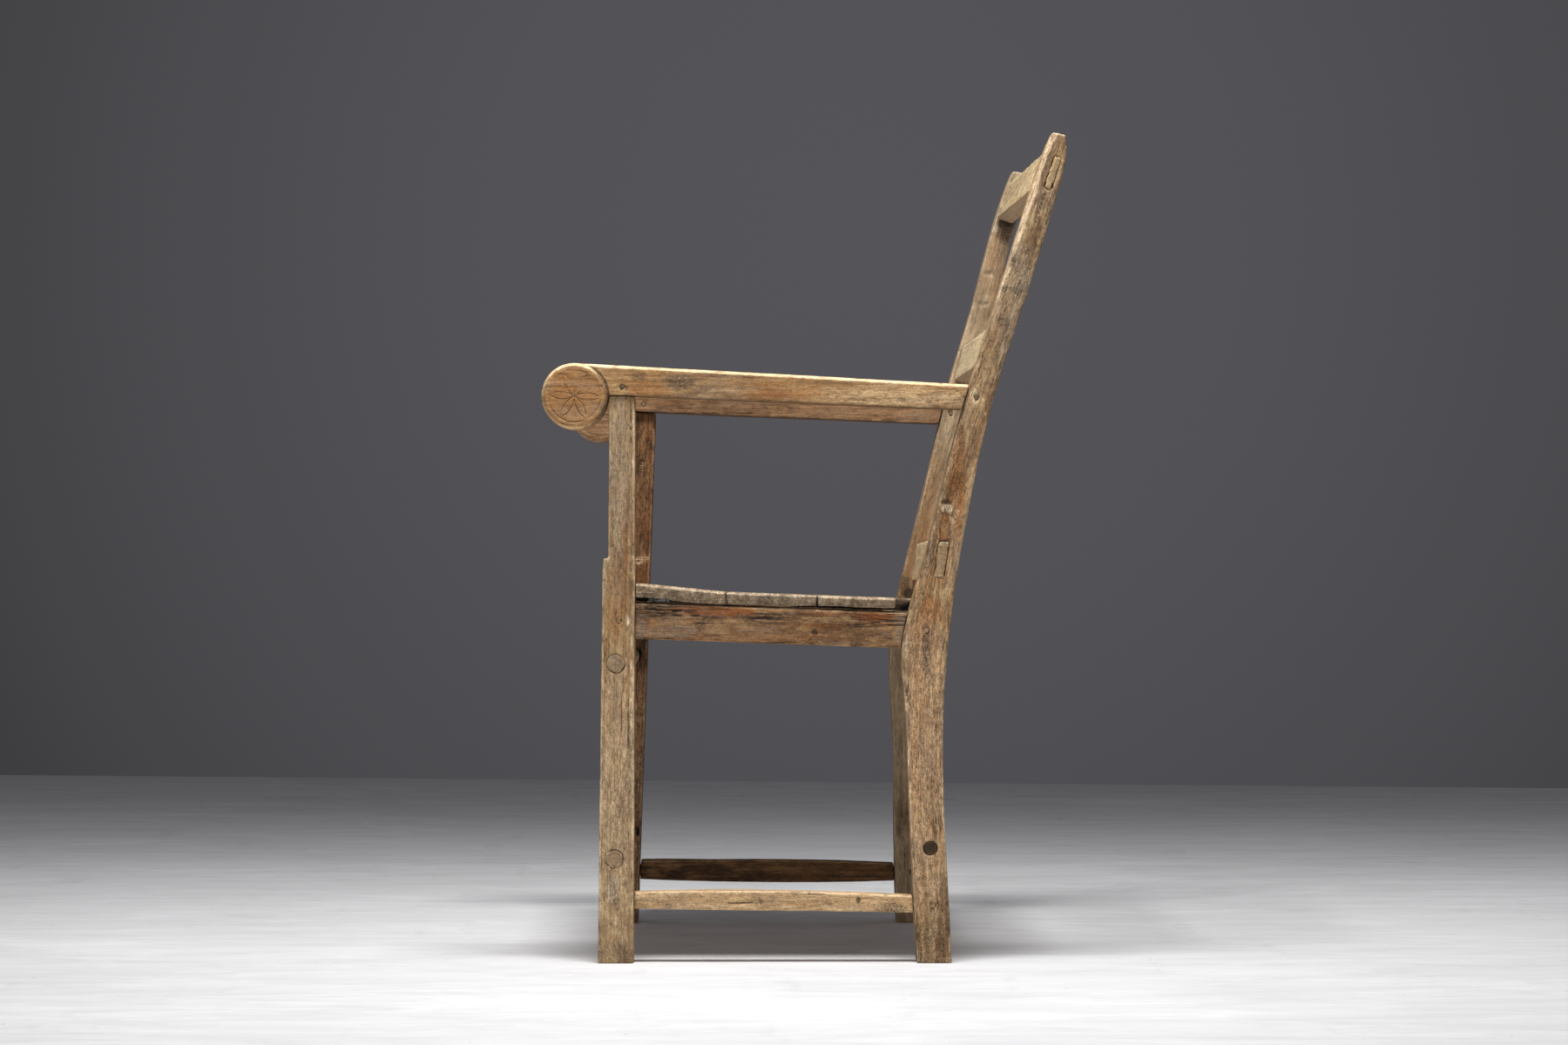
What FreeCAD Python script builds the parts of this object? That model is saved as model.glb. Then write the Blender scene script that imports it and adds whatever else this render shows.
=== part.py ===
import FreeCAD, Part
import os

# A rustic armchair of pale, weathered wood, held together by tenons, pegs and nails.
# Lengths are in millimetres. The front faces -Y, the sitter's left is +X and +Z is up.
# The origin is on the floor, under the middle of the box round the whole chair.

V = FreeCAD.Vector

# Whole chair
chair_width = 540.0             # over the outer faces of the legs and posts
chair_depth = 605.0             # front of the left arm's disc to the rear of the left post's top
chair_height = 960.0            # floor to the top of the taller, right rear post
fit_gap = 0.1                   # round a peg, a nail or a round tenon in its hole

# Front legs: a thick lower part, a shoulder under the seat's edge and a thinner neck
leg_breadth = 42.0              # side to side, of the front legs and the rear posts
leg_foot_depth = 39.5           # front to back at the floor
leg_shoulder_depth = 36.0       # front to back just under the shoulder
neck_depth = 31.0
neck_breadth = 37.0             # the shoulder is on the front and on the inner face
shoulder_rise = 50.0            # of the shoulder above the front end of the side rail
leg_setback = 66.5              # front of the box to the front of the left leg's foot
left_leg_lean = 2.5             # how far the left leg's top stands behind its foot
right_leg_lean = 22.5
right_leg_advance = 9.5         # how far the right foot stands ahead of the left one
leg_arris = 2.5                 # worn chamfer along the long edges
leg_tenon_breadth = 14.0        # stub tenon on the neck, up into the arm
leg_tenon_depth = 20.0
leg_tenon_height = 22.0
old_hole_radius = 3.0           # empty bore in the right leg's inner face
old_hole_depth = 12.0
old_hole_height = 587.0

# Rear posts: outline points as shares of the chair's depth, from the middle, and its height
left_post_front_shares = (
    (0.213, 0.000), (0.204, 0.103), (0.196, 0.220), (0.188, 0.315), (0.183, 0.370),
    (0.198, 0.422), (0.236, 0.505), (0.285, 0.631), (0.314, 0.693), (0.429, 0.925),
    (0.454, 0.971), (0.471, 0.995),
)
left_post_rear_shares = (
    (0.280, 0.000), (0.272, 0.110), (0.264, 0.240), (0.266, 0.314), (0.274, 0.377),
    (0.282, 0.423), (0.302, 0.505), (0.324, 0.579), (0.354, 0.662), (0.417, 0.787),
    (0.484, 0.925), (0.500, 0.975), (0.498, 0.992),
)
right_post_front_shares = (
    (0.202, 0.000), (0.198, 0.121), (0.194, 0.259), (0.188, 0.340), (0.193, 0.395),
    (0.211, 0.451), (0.248, 0.543), (0.283, 0.636), (0.319, 0.728), (0.363, 0.821),
    (0.424, 0.960), (0.449, 1.000),
)
right_post_rear_shares = (
    (0.268, 0.000), (0.266, 0.121), (0.264, 0.259), (0.271, 0.340), (0.281, 0.395),
    (0.292, 0.451), (0.313, 0.543), (0.340, 0.636), (0.375, 0.728), (0.419, 0.821),
    (0.469, 0.940), (0.482, 0.978), (0.478, 0.997),
)
post_arris = 2.0

# Arms: a tapered bar that ends in a round disc
arm_breadth = 46.0
arm_front_height = 689.5        # top of the bar over the disc's centre
arm_rear_height = 665.0         # top of the bar where it meets the left post
arm_front_depth = 35.6          # top to bottom
arm_rear_depth = 29.4
arm_arris = 3.5
disc_radius = 38.5
disc_breadth = 52.0
disc_arris = 3.5                # chamfer round the rim
right_arm_setback = 9.0         # how far the right disc stands behind the left one
arm_tenon_breadth = 14.0        # blind tenon into the post
arm_tenon_depth = 18.0
arm_tenon_length = 22.0

# Side rails of the seat
rail_breadth = 26.0
rail_setback = 4.0              # behind the outer face of the leg
rail_depth = 43.0               # top to bottom
rail_front_height = 415.0       # top edge at the left front leg
rail_rear_height = 403.5        # top edge at the left rear post
right_seat_drop = 4.5           # how much lower the right rail and the planks' right ends lie
rail_arris = 3.0                # along the top outer edge, which shows as a dark line
rail_tenon_breadth = 12.0
rail_tenon_depth = 24.0
rail_blind_length = 30.0        # of the tenon in the post, which doesn't show

# Seat of three planks that run side to side
plank_overhang = 1.0            # past the outer face of the side rail
plank_thickness = 15.5
plank_lip_thickness = 21.5      # at the front edge of the seat
plank_lip_width = 44.0          # how far back the thick lip goes before the plank thins
front_plank_width = 140.0
middle_plank_width = 104.0
rear_plank_width = 147.0
plank_gap = 1.0                 # between two planks
leg_notch_gap = 0.8             # round the front legs
post_notch_gap = 14.0           # in front of the rear posts, left wide open
post_side_gap = 2.0             # beside the rear posts

# Stretchers along the floor, one on each side
stretcher_breadth = 22.0
stretcher_end_depth = 19.5      # top to bottom at the ends
stretcher_crown = 4.0           # how much the top edge rises in the middle
left_stretcher_front_height = 71.5
left_stretcher_rear_height = 66.5
right_stretcher_front_height = 66.5
right_stretcher_rear_height = 64.0
right_stretcher_end_depth = 21.5
right_stretcher_sag = 4.0       # how much its lower edge bows down in the middle
stretcher_arris = 2.5
stretcher_tenon_breadth = 13.0
stretcher_tenon_depth = 10.0
stretcher_proud = 1.0           # how far the tenon stands out of the front leg
stretcher_blind_length = 26.0

# Rungs between the front legs, round and slightly barrelled
rung_tenon_radius = 10.0
rung_end_radius = 12.0
rung_middle_radius = 14.0
front_rung_advance = 3.0        # ahead of the leg's middle
upper_rung_left_height = 343.5
upper_rung_right_height = 340.5
lower_rung_left_height = 120.0
lower_rung_right_height = 115.5

# Rung between the rear posts, a hewn bar with its corners taken off
rear_rung_depth = 36.0          # top to bottom
rear_rung_thickness = 32.0
rear_rung_corner = 8.0
rear_rung_tenon_radius = 7.8
rear_rung_recess = 2.0          # how far its tenons stop short of the posts' outer faces
rear_rung_setback = 2.0         # behind the post's middle
rear_rung_left_height = 132.0
rear_rung_right_height = 119.5

# Back rails. A lean is the distance back for one unit of height.
crest_height = 46.0
crest_thickness = 22.0
crest_setback = 1.5             # of the front face, behind the post's front edge
crest_lean = 0.33
crest_left_drop = 46.5          # of its front face's middle below the chair's height
crest_right_drop = 39.5
crest_tenon_height = 38.0
crest_tenon_thickness = 8.0
crest_tenon_setback = 12.0      # behind the crest's front face

middle_rail_height = 45.0
middle_rail_thickness = 18.0
middle_rail_setback = 5.0
middle_rail_lean = 0.26
middle_rail_place_share = 0.19  # of the way up from the arm to the crest rail
middle_tenon_height = 34.0
middle_tenon_thickness = 8.0
middle_tenon_setback = 5.0
middle_tenon_length = 20.0

lower_rail_height = 48.0
lower_rail_thickness = 19.0
lower_rail_setback = 11.0
lower_rail_lean = 0.146
lower_rail_left_rise = 61.0     # of its middle above the rear end of the side rail
lower_rail_right_rise = 56.5
lower_tenon_height = 42.0
lower_tenon_thickness = 11.0
lower_tenon_setback = 4.0

# Pegs and nails
peg_radius = 2.75
arm_peg_rise = 10.0             # above the underside of the arm, at the leg
post_peg_inset = 12.0           # behind the post's front edge, in the arm's tenon
rail_peg_inset = 26.0           # behind the post's front edge, in the side rail's tenon
stretcher_peg_inset = 22.0
nail_radius = 1.7
nail_head_radius = 4.5
nail_head_thickness = 1.5
nail_length = 40.0
nail_place_shares = (0.2, 0.8)  # across the part of a plank that lies on the rail

half_width = chair_width / 2
inner_face = half_width - leg_breadth
shoulder_height = rail_front_height + shoulder_rise
box_front = -chair_depth / 2
rail_outer = half_width - rail_setback
rail_inner = rail_outer - rail_breadth
SIDES = {"left": 1, "right": -1}


def across(side, setback, breadth):
    """Lowest and highest X of a piece set in from the outer face of one side."""
    outer = side * (half_width - setback)
    inner = outer - side * breadth
    return min(outer, inner), max(outer, inner)


def side_prism(points, low_x, high_x, rise=0):
    """A solid whose outline, seen from the side, is a list of (Y, Z) points at its lowest X.
    It can rise on its way to its highest X."""
    corners = [V(low_x, y, z) for y, z in points]
    face = Part.Face(Part.makePolygon(corners + corners[:1]))
    return face.extrude(V(high_x - low_x, 0, rise))


def eased(solid, size, wanted):
    """The solid with a small chamfer along the edges that the test picks."""
    edges = [edge for edge in solid.Edges if wanted(edge)]
    return solid.makeChamfer(size, edges)


def between(low, high, share):
    return low + (high - low) * share


def curve_y(curve, height):
    """Y of a post's edge curve at a height."""
    level = Part.Plane(V(0, 0, height), V(0, 0, 1))
    return curve.intersectCS(level)[0][0].Y


def x_bar(radius, side, setback, length, y, z):
    """A round bar along X that starts a setback inside one side's outer face."""
    start = V(side * (half_width - setback), y, z)
    return Part.makeCylinder(radius, length, start, V(-side, 0, 0))


# Lines that several pieces share
foot_rear = {}
foot_rear["left"] = box_front + leg_setback + leg_foot_depth
foot_rear["right"] = foot_rear["left"] - right_leg_advance
leg_lean = {"left": left_leg_lean, "right": right_leg_lean}
disc_y = {}
disc_y["left"] = box_front + disc_radius
disc_y["right"] = disc_y["left"] + right_arm_setback
disc_z = arm_front_height - disc_radius


def leg_rear(name, height):
    """Y of a front leg's rear face."""
    return foot_rear[name] + leg_lean[name] * height / disc_z


def leg_depth(height):
    if height > shoulder_height:
        return neck_depth
    return between(leg_foot_depth, leg_shoulder_depth, height / shoulder_height)


def leg_middle(name, height):
    return leg_rear(name, height) - leg_depth(height) / 2


def post_curve(shares):
    points = [V(0, y * chair_depth, z * chair_height) for y, z in shares]
    curve = Part.BSplineCurve()
    curve.interpolate(points)
    return curve


post_front = {
    "left": post_curve(left_post_front_shares),
    "right": post_curve(right_post_front_shares),
}
post_rear = {
    "left": post_curve(left_post_rear_shares),
    "right": post_curve(right_post_rear_shares),
}


def post_middle(name, height):
    return (curve_y(post_front[name], height) + curve_y(post_rear[name], height)) / 2


arm_joint_y = curve_y(post_front["left"], arm_rear_height)
rail_joint_y = curve_y(post_front["left"], rail_rear_height)


def arm_top(y):
    share = (y - disc_y["left"]) / (arm_joint_y - disc_y["left"])
    return between(arm_front_height, arm_rear_height, share)


def arm_bottom(y):
    share = (y - disc_y["left"]) / (arm_joint_y - disc_y["left"])
    return arm_top(y) - between(arm_front_depth, arm_rear_depth, share)


seat_drop = {"left": 0, "right": right_seat_drop}


def seat_line(y):
    """Height of the left side rail's top edge, on which the planks lie."""
    share = (y - foot_rear["left"]) / (rail_joint_y - foot_rear["left"])
    return between(rail_front_height, rail_rear_height, share)


def rail_top(name, y):
    return seat_line(y) - seat_drop[name]


def plank_rise(x):
    """Height of the planks above the seat line. They touch the left rail's inner top edge
    and the right rail's outer one."""
    return (x - rail_inner) * right_seat_drop / (rail_inner + rail_outer)


# Front legs
def leg_blank(name):
    """The leg without its tenon or mortises. Its neck ends at the arm's underside."""
    side = SIDES[name]
    neck_rear = leg_rear(name, disc_z)
    lower_outline = [
        (leg_rear(name, 0) - leg_foot_depth, 0),
        (leg_rear(name, shoulder_height) - leg_shoulder_depth, shoulder_height),
        (leg_rear(name, shoulder_height), shoulder_height),
        (leg_rear(name, 0), 0),
    ]
    neck_outline = [
        (leg_rear(name, shoulder_height) - neck_depth, shoulder_height),
        (neck_rear - neck_depth, arm_bottom(neck_rear - neck_depth)),
        (neck_rear, arm_bottom(neck_rear)),
        (leg_rear(name, shoulder_height), shoulder_height),
    ]
    lower = side_prism(lower_outline, *across(side, 0, leg_breadth))
    neck = side_prism(neck_outline, *across(side, 0, neck_breadth))
    lower = eased(lower, leg_arris, lambda edge: edge.Length > leg_breadth * 2)
    neck = eased(neck, leg_arris, lambda edge: edge.Length > leg_breadth * 2)
    return lower.fuse(neck).removeSplitter()


def neck_tenon(name):
    side = SIDES[name]
    middle = leg_middle(name, disc_z)
    low_x, high_x = across(side, (neck_breadth - leg_tenon_breadth) / 2, leg_tenon_breadth)
    front, rear = middle - leg_tenon_depth / 2, middle + leg_tenon_depth / 2
    outline = [
        (front, arm_bottom(front)),
        (front, arm_bottom(middle) + leg_tenon_height),
        (rear, arm_bottom(middle) + leg_tenon_height),
        (rear, arm_bottom(rear)),
    ]
    return side_prism(outline, low_x, high_x)


# Rear posts
def post_blank(name):
    front, rear = post_front[name], post_rear[name]
    edges = [
        front.toShape(),
        Part.makeLine(front.EndPoint, rear.EndPoint),
        rear.toShape(),
        Part.makeLine(rear.StartPoint, front.StartPoint),
    ]
    low_x, high_x = across(SIDES[name], 0, leg_breadth)
    face = Part.Face(Part.Wire(Part.__sortEdges__(edges)))
    face.translate(V(low_x, 0, 0))
    post = face.extrude(V(high_x - low_x, 0, 0))
    return eased(post, post_arris, lambda edge: edge.Length > chair_height / 2)


# Arms
def behind_post(name):
    """A block that fills everything behind the front face of one post, wider than the arm."""
    front = post_front[name]
    top, foot = front.EndPoint, front.StartPoint
    edges = [
        front.toShape(),
        Part.makeLine(top, V(0, chair_depth, top.z)),
        Part.makeLine(V(0, chair_depth, top.z), V(0, chair_depth, foot.z)),
        Part.makeLine(V(0, chair_depth, foot.z), foot),
    ]
    low_x, high_x = across(SIDES[name], -leg_breadth, leg_breadth * 3)
    face = Part.Face(Part.Wire(Part.__sortEdges__(edges)))
    face.translate(V(low_x, 0, 0))
    return face.extrude(V(high_x - low_x, 0, 0))


def arm_bar(name):
    """The bar and disc of one arm, its rear end cut to the slope of the post."""
    side = SIDES[name]
    start = disc_y[name]
    end = curve_y(post_rear[name], arm_rear_height)
    outline = [
        (start, arm_bottom(start)),
        (start, arm_top(start)),
        (end, arm_top(end)),
        (end, arm_bottom(end)),
    ]
    middle_setback = (leg_breadth - arm_breadth) / 2
    bar = side_prism(outline, *across(side, middle_setback, arm_breadth))
    half_length = (end - start) / 2
    bar = eased(
        bar, arm_arris,
        lambda edge: edge.Length > half_length and edge.CenterOfMass.z > arm_top(start) - disc_radius,
    )
    disc_setback = (leg_breadth - disc_breadth) / 2
    disc = x_bar(disc_radius, side, disc_setback, disc_breadth, start, disc_z)
    disc = eased(disc, disc_arris, lambda edge: edge.isClosed())
    return bar.cut(behind_post(name)).fuse(disc).removeSplitter()


def arm_tenon(name, post):
    side = SIDES[name]
    height = arm_rear_height - arm_rear_depth / 2
    front = curve_y(post_front[name], height) - arm_tenon_length
    rear = front + arm_tenon_length * 2
    low, high = height - arm_tenon_depth / 2, height + arm_tenon_depth / 2
    outline = [(front, low), (front, high), (rear, high), (rear, low)]
    setback = (leg_breadth - arm_tenon_breadth) / 2
    return side_prism(outline, *across(side, setback, arm_tenon_breadth)).common(post)


# Side rails of the seat
def side_rail(name, leg, post):
    """The rail between a front leg and a rear post, with a tenon at each end."""
    side = SIDES[name]
    front = leg_middle(name, rail_front_height)
    rear = post_middle(name, rail_rear_height)
    outline = [
        (front, rail_top(name, front) - rail_depth),
        (front, rail_top(name, front)),
        (rear, rail_top(name, rear)),
        (rear, rail_top(name, rear) - rail_depth),
    ]
    rail = side_prism(outline, *across(side, rail_setback, rail_breadth))
    middle_x = rail_outer - rail_breadth / 2
    middle_z = rail_top(name, (front + rear) / 2) - rail_depth / 2

    def on_outer_top(edge):
        place = edge.CenterOfMass
        is_long = edge.Length > (rear - front) / 2
        return is_long and place.z > middle_z and place.x * side > middle_x

    rail = eased(rail, rail_arris, on_outer_top).cut(leg).cut(post)
    tenon_setback = rail_setback + (rail_breadth - rail_tenon_breadth) / 2
    tenon_x = across(side, tenon_setback, rail_tenon_breadth)
    top_inset = (rail_depth - rail_tenon_depth) / 2
    leg_front = leg_rear(name, rail_front_height) - leg_foot_depth
    leg_face = leg_rear(name, rail_front_height)
    tenon_top = rail_top(name, leg_face) - top_inset
    front_outline = [
        (leg_front - leg_arris, tenon_top - rail_tenon_depth),
        (leg_front - leg_arris, tenon_top),
        (leg_face + leg_arris, tenon_top),
        (leg_face + leg_arris, tenon_top - rail_tenon_depth),
    ]
    post_height = rail_rear_height - seat_drop[name] - rail_depth / 2
    blind_end = curve_y(post_front[name], post_height) + rail_blind_length
    rear_outline = [
        (blind_end - rail_blind_length * 2, post_height - rail_tenon_depth / 2),
        (blind_end - rail_blind_length * 2, post_height + rail_tenon_depth / 2),
        (blind_end, post_height + rail_tenon_depth / 2),
        (blind_end, post_height - rail_tenon_depth / 2),
    ]
    front_tenon = side_prism(front_outline, *tenon_x).common(leg)
    rear_tenon = side_prism(rear_outline, *tenon_x).common(post)
    return rail.fuse([front_tenon, rear_tenon]).removeSplitter()


# Stretchers
stretcher_front_height = {
    "left": left_stretcher_front_height,
    "right": right_stretcher_front_height,
}
stretcher_rear_height = {
    "left": left_stretcher_rear_height,
    "right": right_stretcher_rear_height,
}
stretcher_depth = {"left": stretcher_end_depth, "right": right_stretcher_end_depth}
stretcher_sag = {"right": right_stretcher_sag}


def stretcher(name, leg, post):
    """The low bar between a front leg and a rear post, crowned along its top."""
    side = SIDES[name]
    front_z, rear_z = stretcher_front_height[name], stretcher_rear_height[name]
    half = stretcher_depth[name] / 2
    front = leg_middle(name, front_z)
    rear = post_middle(name, rear_z)
    setback = (leg_breadth - stretcher_breadth) / 2
    low_x, high_x = across(side, setback, stretcher_breadth)
    front_top, rear_top = V(low_x, front, front_z + half), V(low_x, rear, rear_z + half)
    front_low, rear_low = V(low_x, front, front_z - half), V(low_x, rear, rear_z - half)
    crown = (front_top + rear_top) / 2 + V(0, 0, stretcher_crown)
    low_edge = Part.makeLine(rear_low, front_low)
    if name in stretcher_sag:
        belly = (front_low + rear_low) / 2 - V(0, 0, stretcher_sag[name])
        low_edge = Part.Arc(rear_low, belly, front_low).toShape()
    outline = Part.Wire([
        Part.Arc(front_top, crown, rear_top).toShape(),
        Part.makeLine(rear_top, rear_low),
        low_edge,
        Part.makeLine(front_low, front_top),
    ])
    bar = Part.Face(outline).extrude(V(high_x - low_x, 0, 0))
    middle_z = (front_z + rear_z) / 2
    bar = eased(
        bar, stretcher_arris,
        lambda edge: edge.Length > (rear - front) / 2 and edge.CenterOfMass.z > middle_z,
    )
    bar = bar.cut(leg).cut(post)
    tenon_setback = (leg_breadth - stretcher_tenon_breadth) / 2
    tenon_x = across(side, tenon_setback, stretcher_tenon_breadth)
    half_tenon = stretcher_tenon_depth / 2
    leg_face = leg_rear(name, front_z)
    leg_front = leg_face - leg_depth(front_z)
    front_outline = [
        (leg_front - stretcher_proud, front_z - half_tenon),
        (leg_front - stretcher_proud, front_z + half_tenon),
        (leg_face + stretcher_arris, front_z + half_tenon),
        (leg_face + stretcher_arris, front_z - half_tenon),
    ]
    blind_end = curve_y(post_front[name], rear_z) + stretcher_blind_length
    rear_outline = [
        (blind_end - stretcher_blind_length * 2, rear_z - half_tenon),
        (blind_end - stretcher_blind_length * 2, rear_z + half_tenon),
        (blind_end, rear_z + half_tenon),
        (blind_end, rear_z - half_tenon),
    ]
    front_tenon = side_prism(front_outline, *tenon_x)
    rear_tenon = side_prism(rear_outline, *tenon_x).common(post)
    return bar.fuse([front_tenon, rear_tenon]).removeSplitter()


# Rungs
def slab(half_thickness):
    """A block centred on the chair that ends at plus and minus half_thickness in X."""
    reach = chair_depth + chair_height
    corner = V(-half_thickness, -reach, -reach)
    return Part.makeBox(half_thickness * 2, reach * 2, reach * 2, corner)


def along_rung(solid, left_end, right_end):
    """Turns a solid made along X so that it runs from the right end to the left end."""
    placed = solid.copy()
    direction = left_end - right_end
    placed.Placement = FreeCAD.Placement(
        (left_end + right_end) / 2, FreeCAD.Rotation(V(1, 0, 0), direction)
    )
    return placed


def barrelled_bar():
    """The body of a front rung, thickest in the middle, made along X."""
    ends = [V(x, rung_end_radius, 0) for x in (-inner_face, inner_face)]
    reach = half_width
    start, stop = V(-reach, rung_end_radius, 0), V(reach, rung_end_radius, 0)
    outline = Part.Wire([
        Part.makeLine(start, ends[0]),
        Part.Arc(ends[0], V(0, rung_middle_radius, 0), ends[1]).toShape(),
        Part.makeLine(ends[1], stop),
        Part.makeLine(stop, V(reach, 0, 0)),
        Part.makeLine(V(reach, 0, 0), V(-reach, 0, 0)),
        Part.makeLine(V(-reach, 0, 0), start),
    ])
    return Part.Face(outline).revolve(V(0, 0, 0), V(1, 0, 0), 360)


def hewn_bar():
    """The body of the rear rung, a square bar with its four corners taken off."""
    half_y, half_z = rear_rung_thickness / 2, rear_rung_depth / 2
    cut = rear_rung_corner
    points = [
        (-half_y + cut, -half_z), (half_y - cut, -half_z),
        (half_y, -half_z + cut), (half_y, half_z - cut),
        (half_y - cut, half_z), (-half_y + cut, half_z),
        (-half_y, half_z - cut), (-half_y, -half_z + cut),
    ]
    return side_prism(points, -half_width, half_width)


def round_core(radius):
    """A cylinder along X, longer than the chair is wide."""
    return Part.makeCylinder(radius, chair_width * 2, V(-chair_width, 0, 0), V(1, 0, 0))


def rung(body, tenon_radius, recess, left_end, right_end):
    """A rung with shoulders on the inner faces and round tenons through the legs."""
    shaft = along_rung(body, left_end, right_end).common(slab(inner_face))
    core = along_rung(round_core(tenon_radius), left_end, right_end)
    tenons = core.common(slab(half_width - recess)).cut(slab(inner_face))
    return shaft.fuse(tenons).removeSplitter()


def rung_bore(tenon_radius, left_end, right_end):
    return along_rung(round_core(tenon_radius + fit_gap), left_end, right_end)


def front_rung_ends(left_height, right_height):
    return (
        V(half_width, leg_middle("left", left_height) - front_rung_advance, left_height),
        V(-half_width, leg_middle("right", right_height) - front_rung_advance, right_height),
    )


# Back rails
def back_rail_face(name, middle, setback, height, thickness, lean, inset):
    """Corners (Y, Z) of a leaning rail's section at the inner face of one post."""
    up = V(0, lean, 1).normalize()
    back = V(0, up.z, -up.y)
    face = V(0, curve_y(post_front[name], middle) + setback, middle) + back * inset
    corners = [
        face - up * height / 2,
        face + up * height / 2,
        face + up * height / 2 + back * thickness,
        face - up * height / 2 + back * thickness,
    ]
    return [V(SIDES[name] * inner_face, corner.y, corner.z) for corner in corners]


def skew_board(left_corners, right_corners, beyond):
    """A board from the right section to the left one, and beyond both by a length."""
    run = left_corners[0] - right_corners[0]
    extra = run * (beyond / (inner_face * 2))
    start = [corner - extra for corner in right_corners]
    return Part.Face(Part.makePolygon(start + start[:1])).extrude(run + extra * 2)


def back_rail(middles, setback, height, thickness, lean, tenon, tenon_length):
    """A leaning rail between the posts. The tenon is (height, thickness, setback)."""
    tenon_height, tenon_thickness, tenon_setback = tenon
    sections = {}
    tenon_sections = {}
    for name in SIDES:
        section = (name, middles[name], setback)
        sections[name] = back_rail_face(*section, height, thickness, lean, 0)
        tenon_sections[name] = back_rail_face(
            *section, tenon_height, tenon_thickness, lean, tenon_setback
        )
    board = skew_board(sections["left"], sections["right"], 0)
    bar = skew_board(tenon_sections["left"], tenon_sections["right"], tenon_length)
    return board.fuse(bar).removeSplitter()


# Seat planks
seat_front = leg_rear("left", rail_front_height) - leg_shoulder_depth
plank_edges = {}
plank_edges["front"] = (seat_front, seat_front + front_plank_width)
plank_edges["middle"] = (
    plank_edges["front"][1] + plank_gap,
    plank_edges["front"][1] + plank_gap + middle_plank_width,
)
plank_edges["rear"] = (
    plank_edges["middle"][1] + plank_gap,
    plank_edges["middle"][1] + plank_gap + rear_plank_width,
)
plank_end = rail_outer + plank_overhang


def plank(place):
    """A seat plank before notching. The front one has a thick lip that thins backwards."""
    front, rear = plank_edges[place]
    outline = [
        (front, seat_line(front)),
        (rear, seat_line(rear)),
        (rear, seat_line(rear) + plank_thickness),
    ]
    if place == "front":
        lip = front + plank_lip_width
        outline.append((lip, seat_line(lip) + plank_lip_thickness))
        outline.append((front, seat_line(front) + plank_lip_thickness))
    else:
        outline.append((front, seat_line(front) + plank_thickness))
    right_rise, left_rise = plank_rise(-plank_end), plank_rise(plank_end)
    right_end = [(y, z + right_rise) for y, z in outline]
    return side_prism(right_end, -plank_end, plank_end, left_rise - right_rise)


def notch(side, inner, front, rear):
    """A block at one end of a plank, from an inner X outwards, to cut away."""
    low, high = rail_rear_height - plank_thickness, rail_front_height + plank_lip_thickness * 2
    outline = [(front, low), (front, high), (rear, high), (rear, low)]
    low_x, high_x = sorted((side * inner, side * chair_width))
    return side_prism(outline, low_x, high_x)


def leg_notch(name):
    rear = leg_rear(name, rail_front_height + plank_thickness) + leg_notch_gap
    return notch(SIDES[name], inner_face - leg_notch_gap, box_front, rear)


def post_notch(name):
    front = curve_y(post_front[name], rail_rear_height) - post_notch_gap
    return notch(SIDES[name], inner_face - post_side_gap, front, chair_depth)


def rail_span(place, name):
    """Front and rear Y of the part of a plank that lies on a side rail."""
    front, rear = plank_edges[place]
    if place == "front":
        front = leg_rear(name, rail_front_height) + leg_notch_gap
    if place == "rear":
        rear = curve_y(post_front[name], rail_rear_height) - post_notch_gap
    return front, rear


def plank_top(place, y):
    front, rear = plank_edges[place]
    lip = front + plank_lip_width
    if place != "front":
        return seat_line(y) + plank_thickness
    share = max(0, (y - lip) / (rear - lip))
    return seat_line(y) + between(plank_lip_thickness, plank_thickness, share)


def nail(x, y, top, gap, head_height):
    """A nail whose head lies level with the plank's top, or the hole for one, with a gap."""
    point, head_seat = V(x, y, top - nail_length - gap), V(x, y, top - nail_head_thickness)
    shank = Part.makeCylinder(nail_radius + gap, nail_length + gap, point)
    head = Part.makeCylinder(nail_head_radius + gap, head_height, head_seat)
    return shank.fuse(head).removeSplitter()


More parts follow.
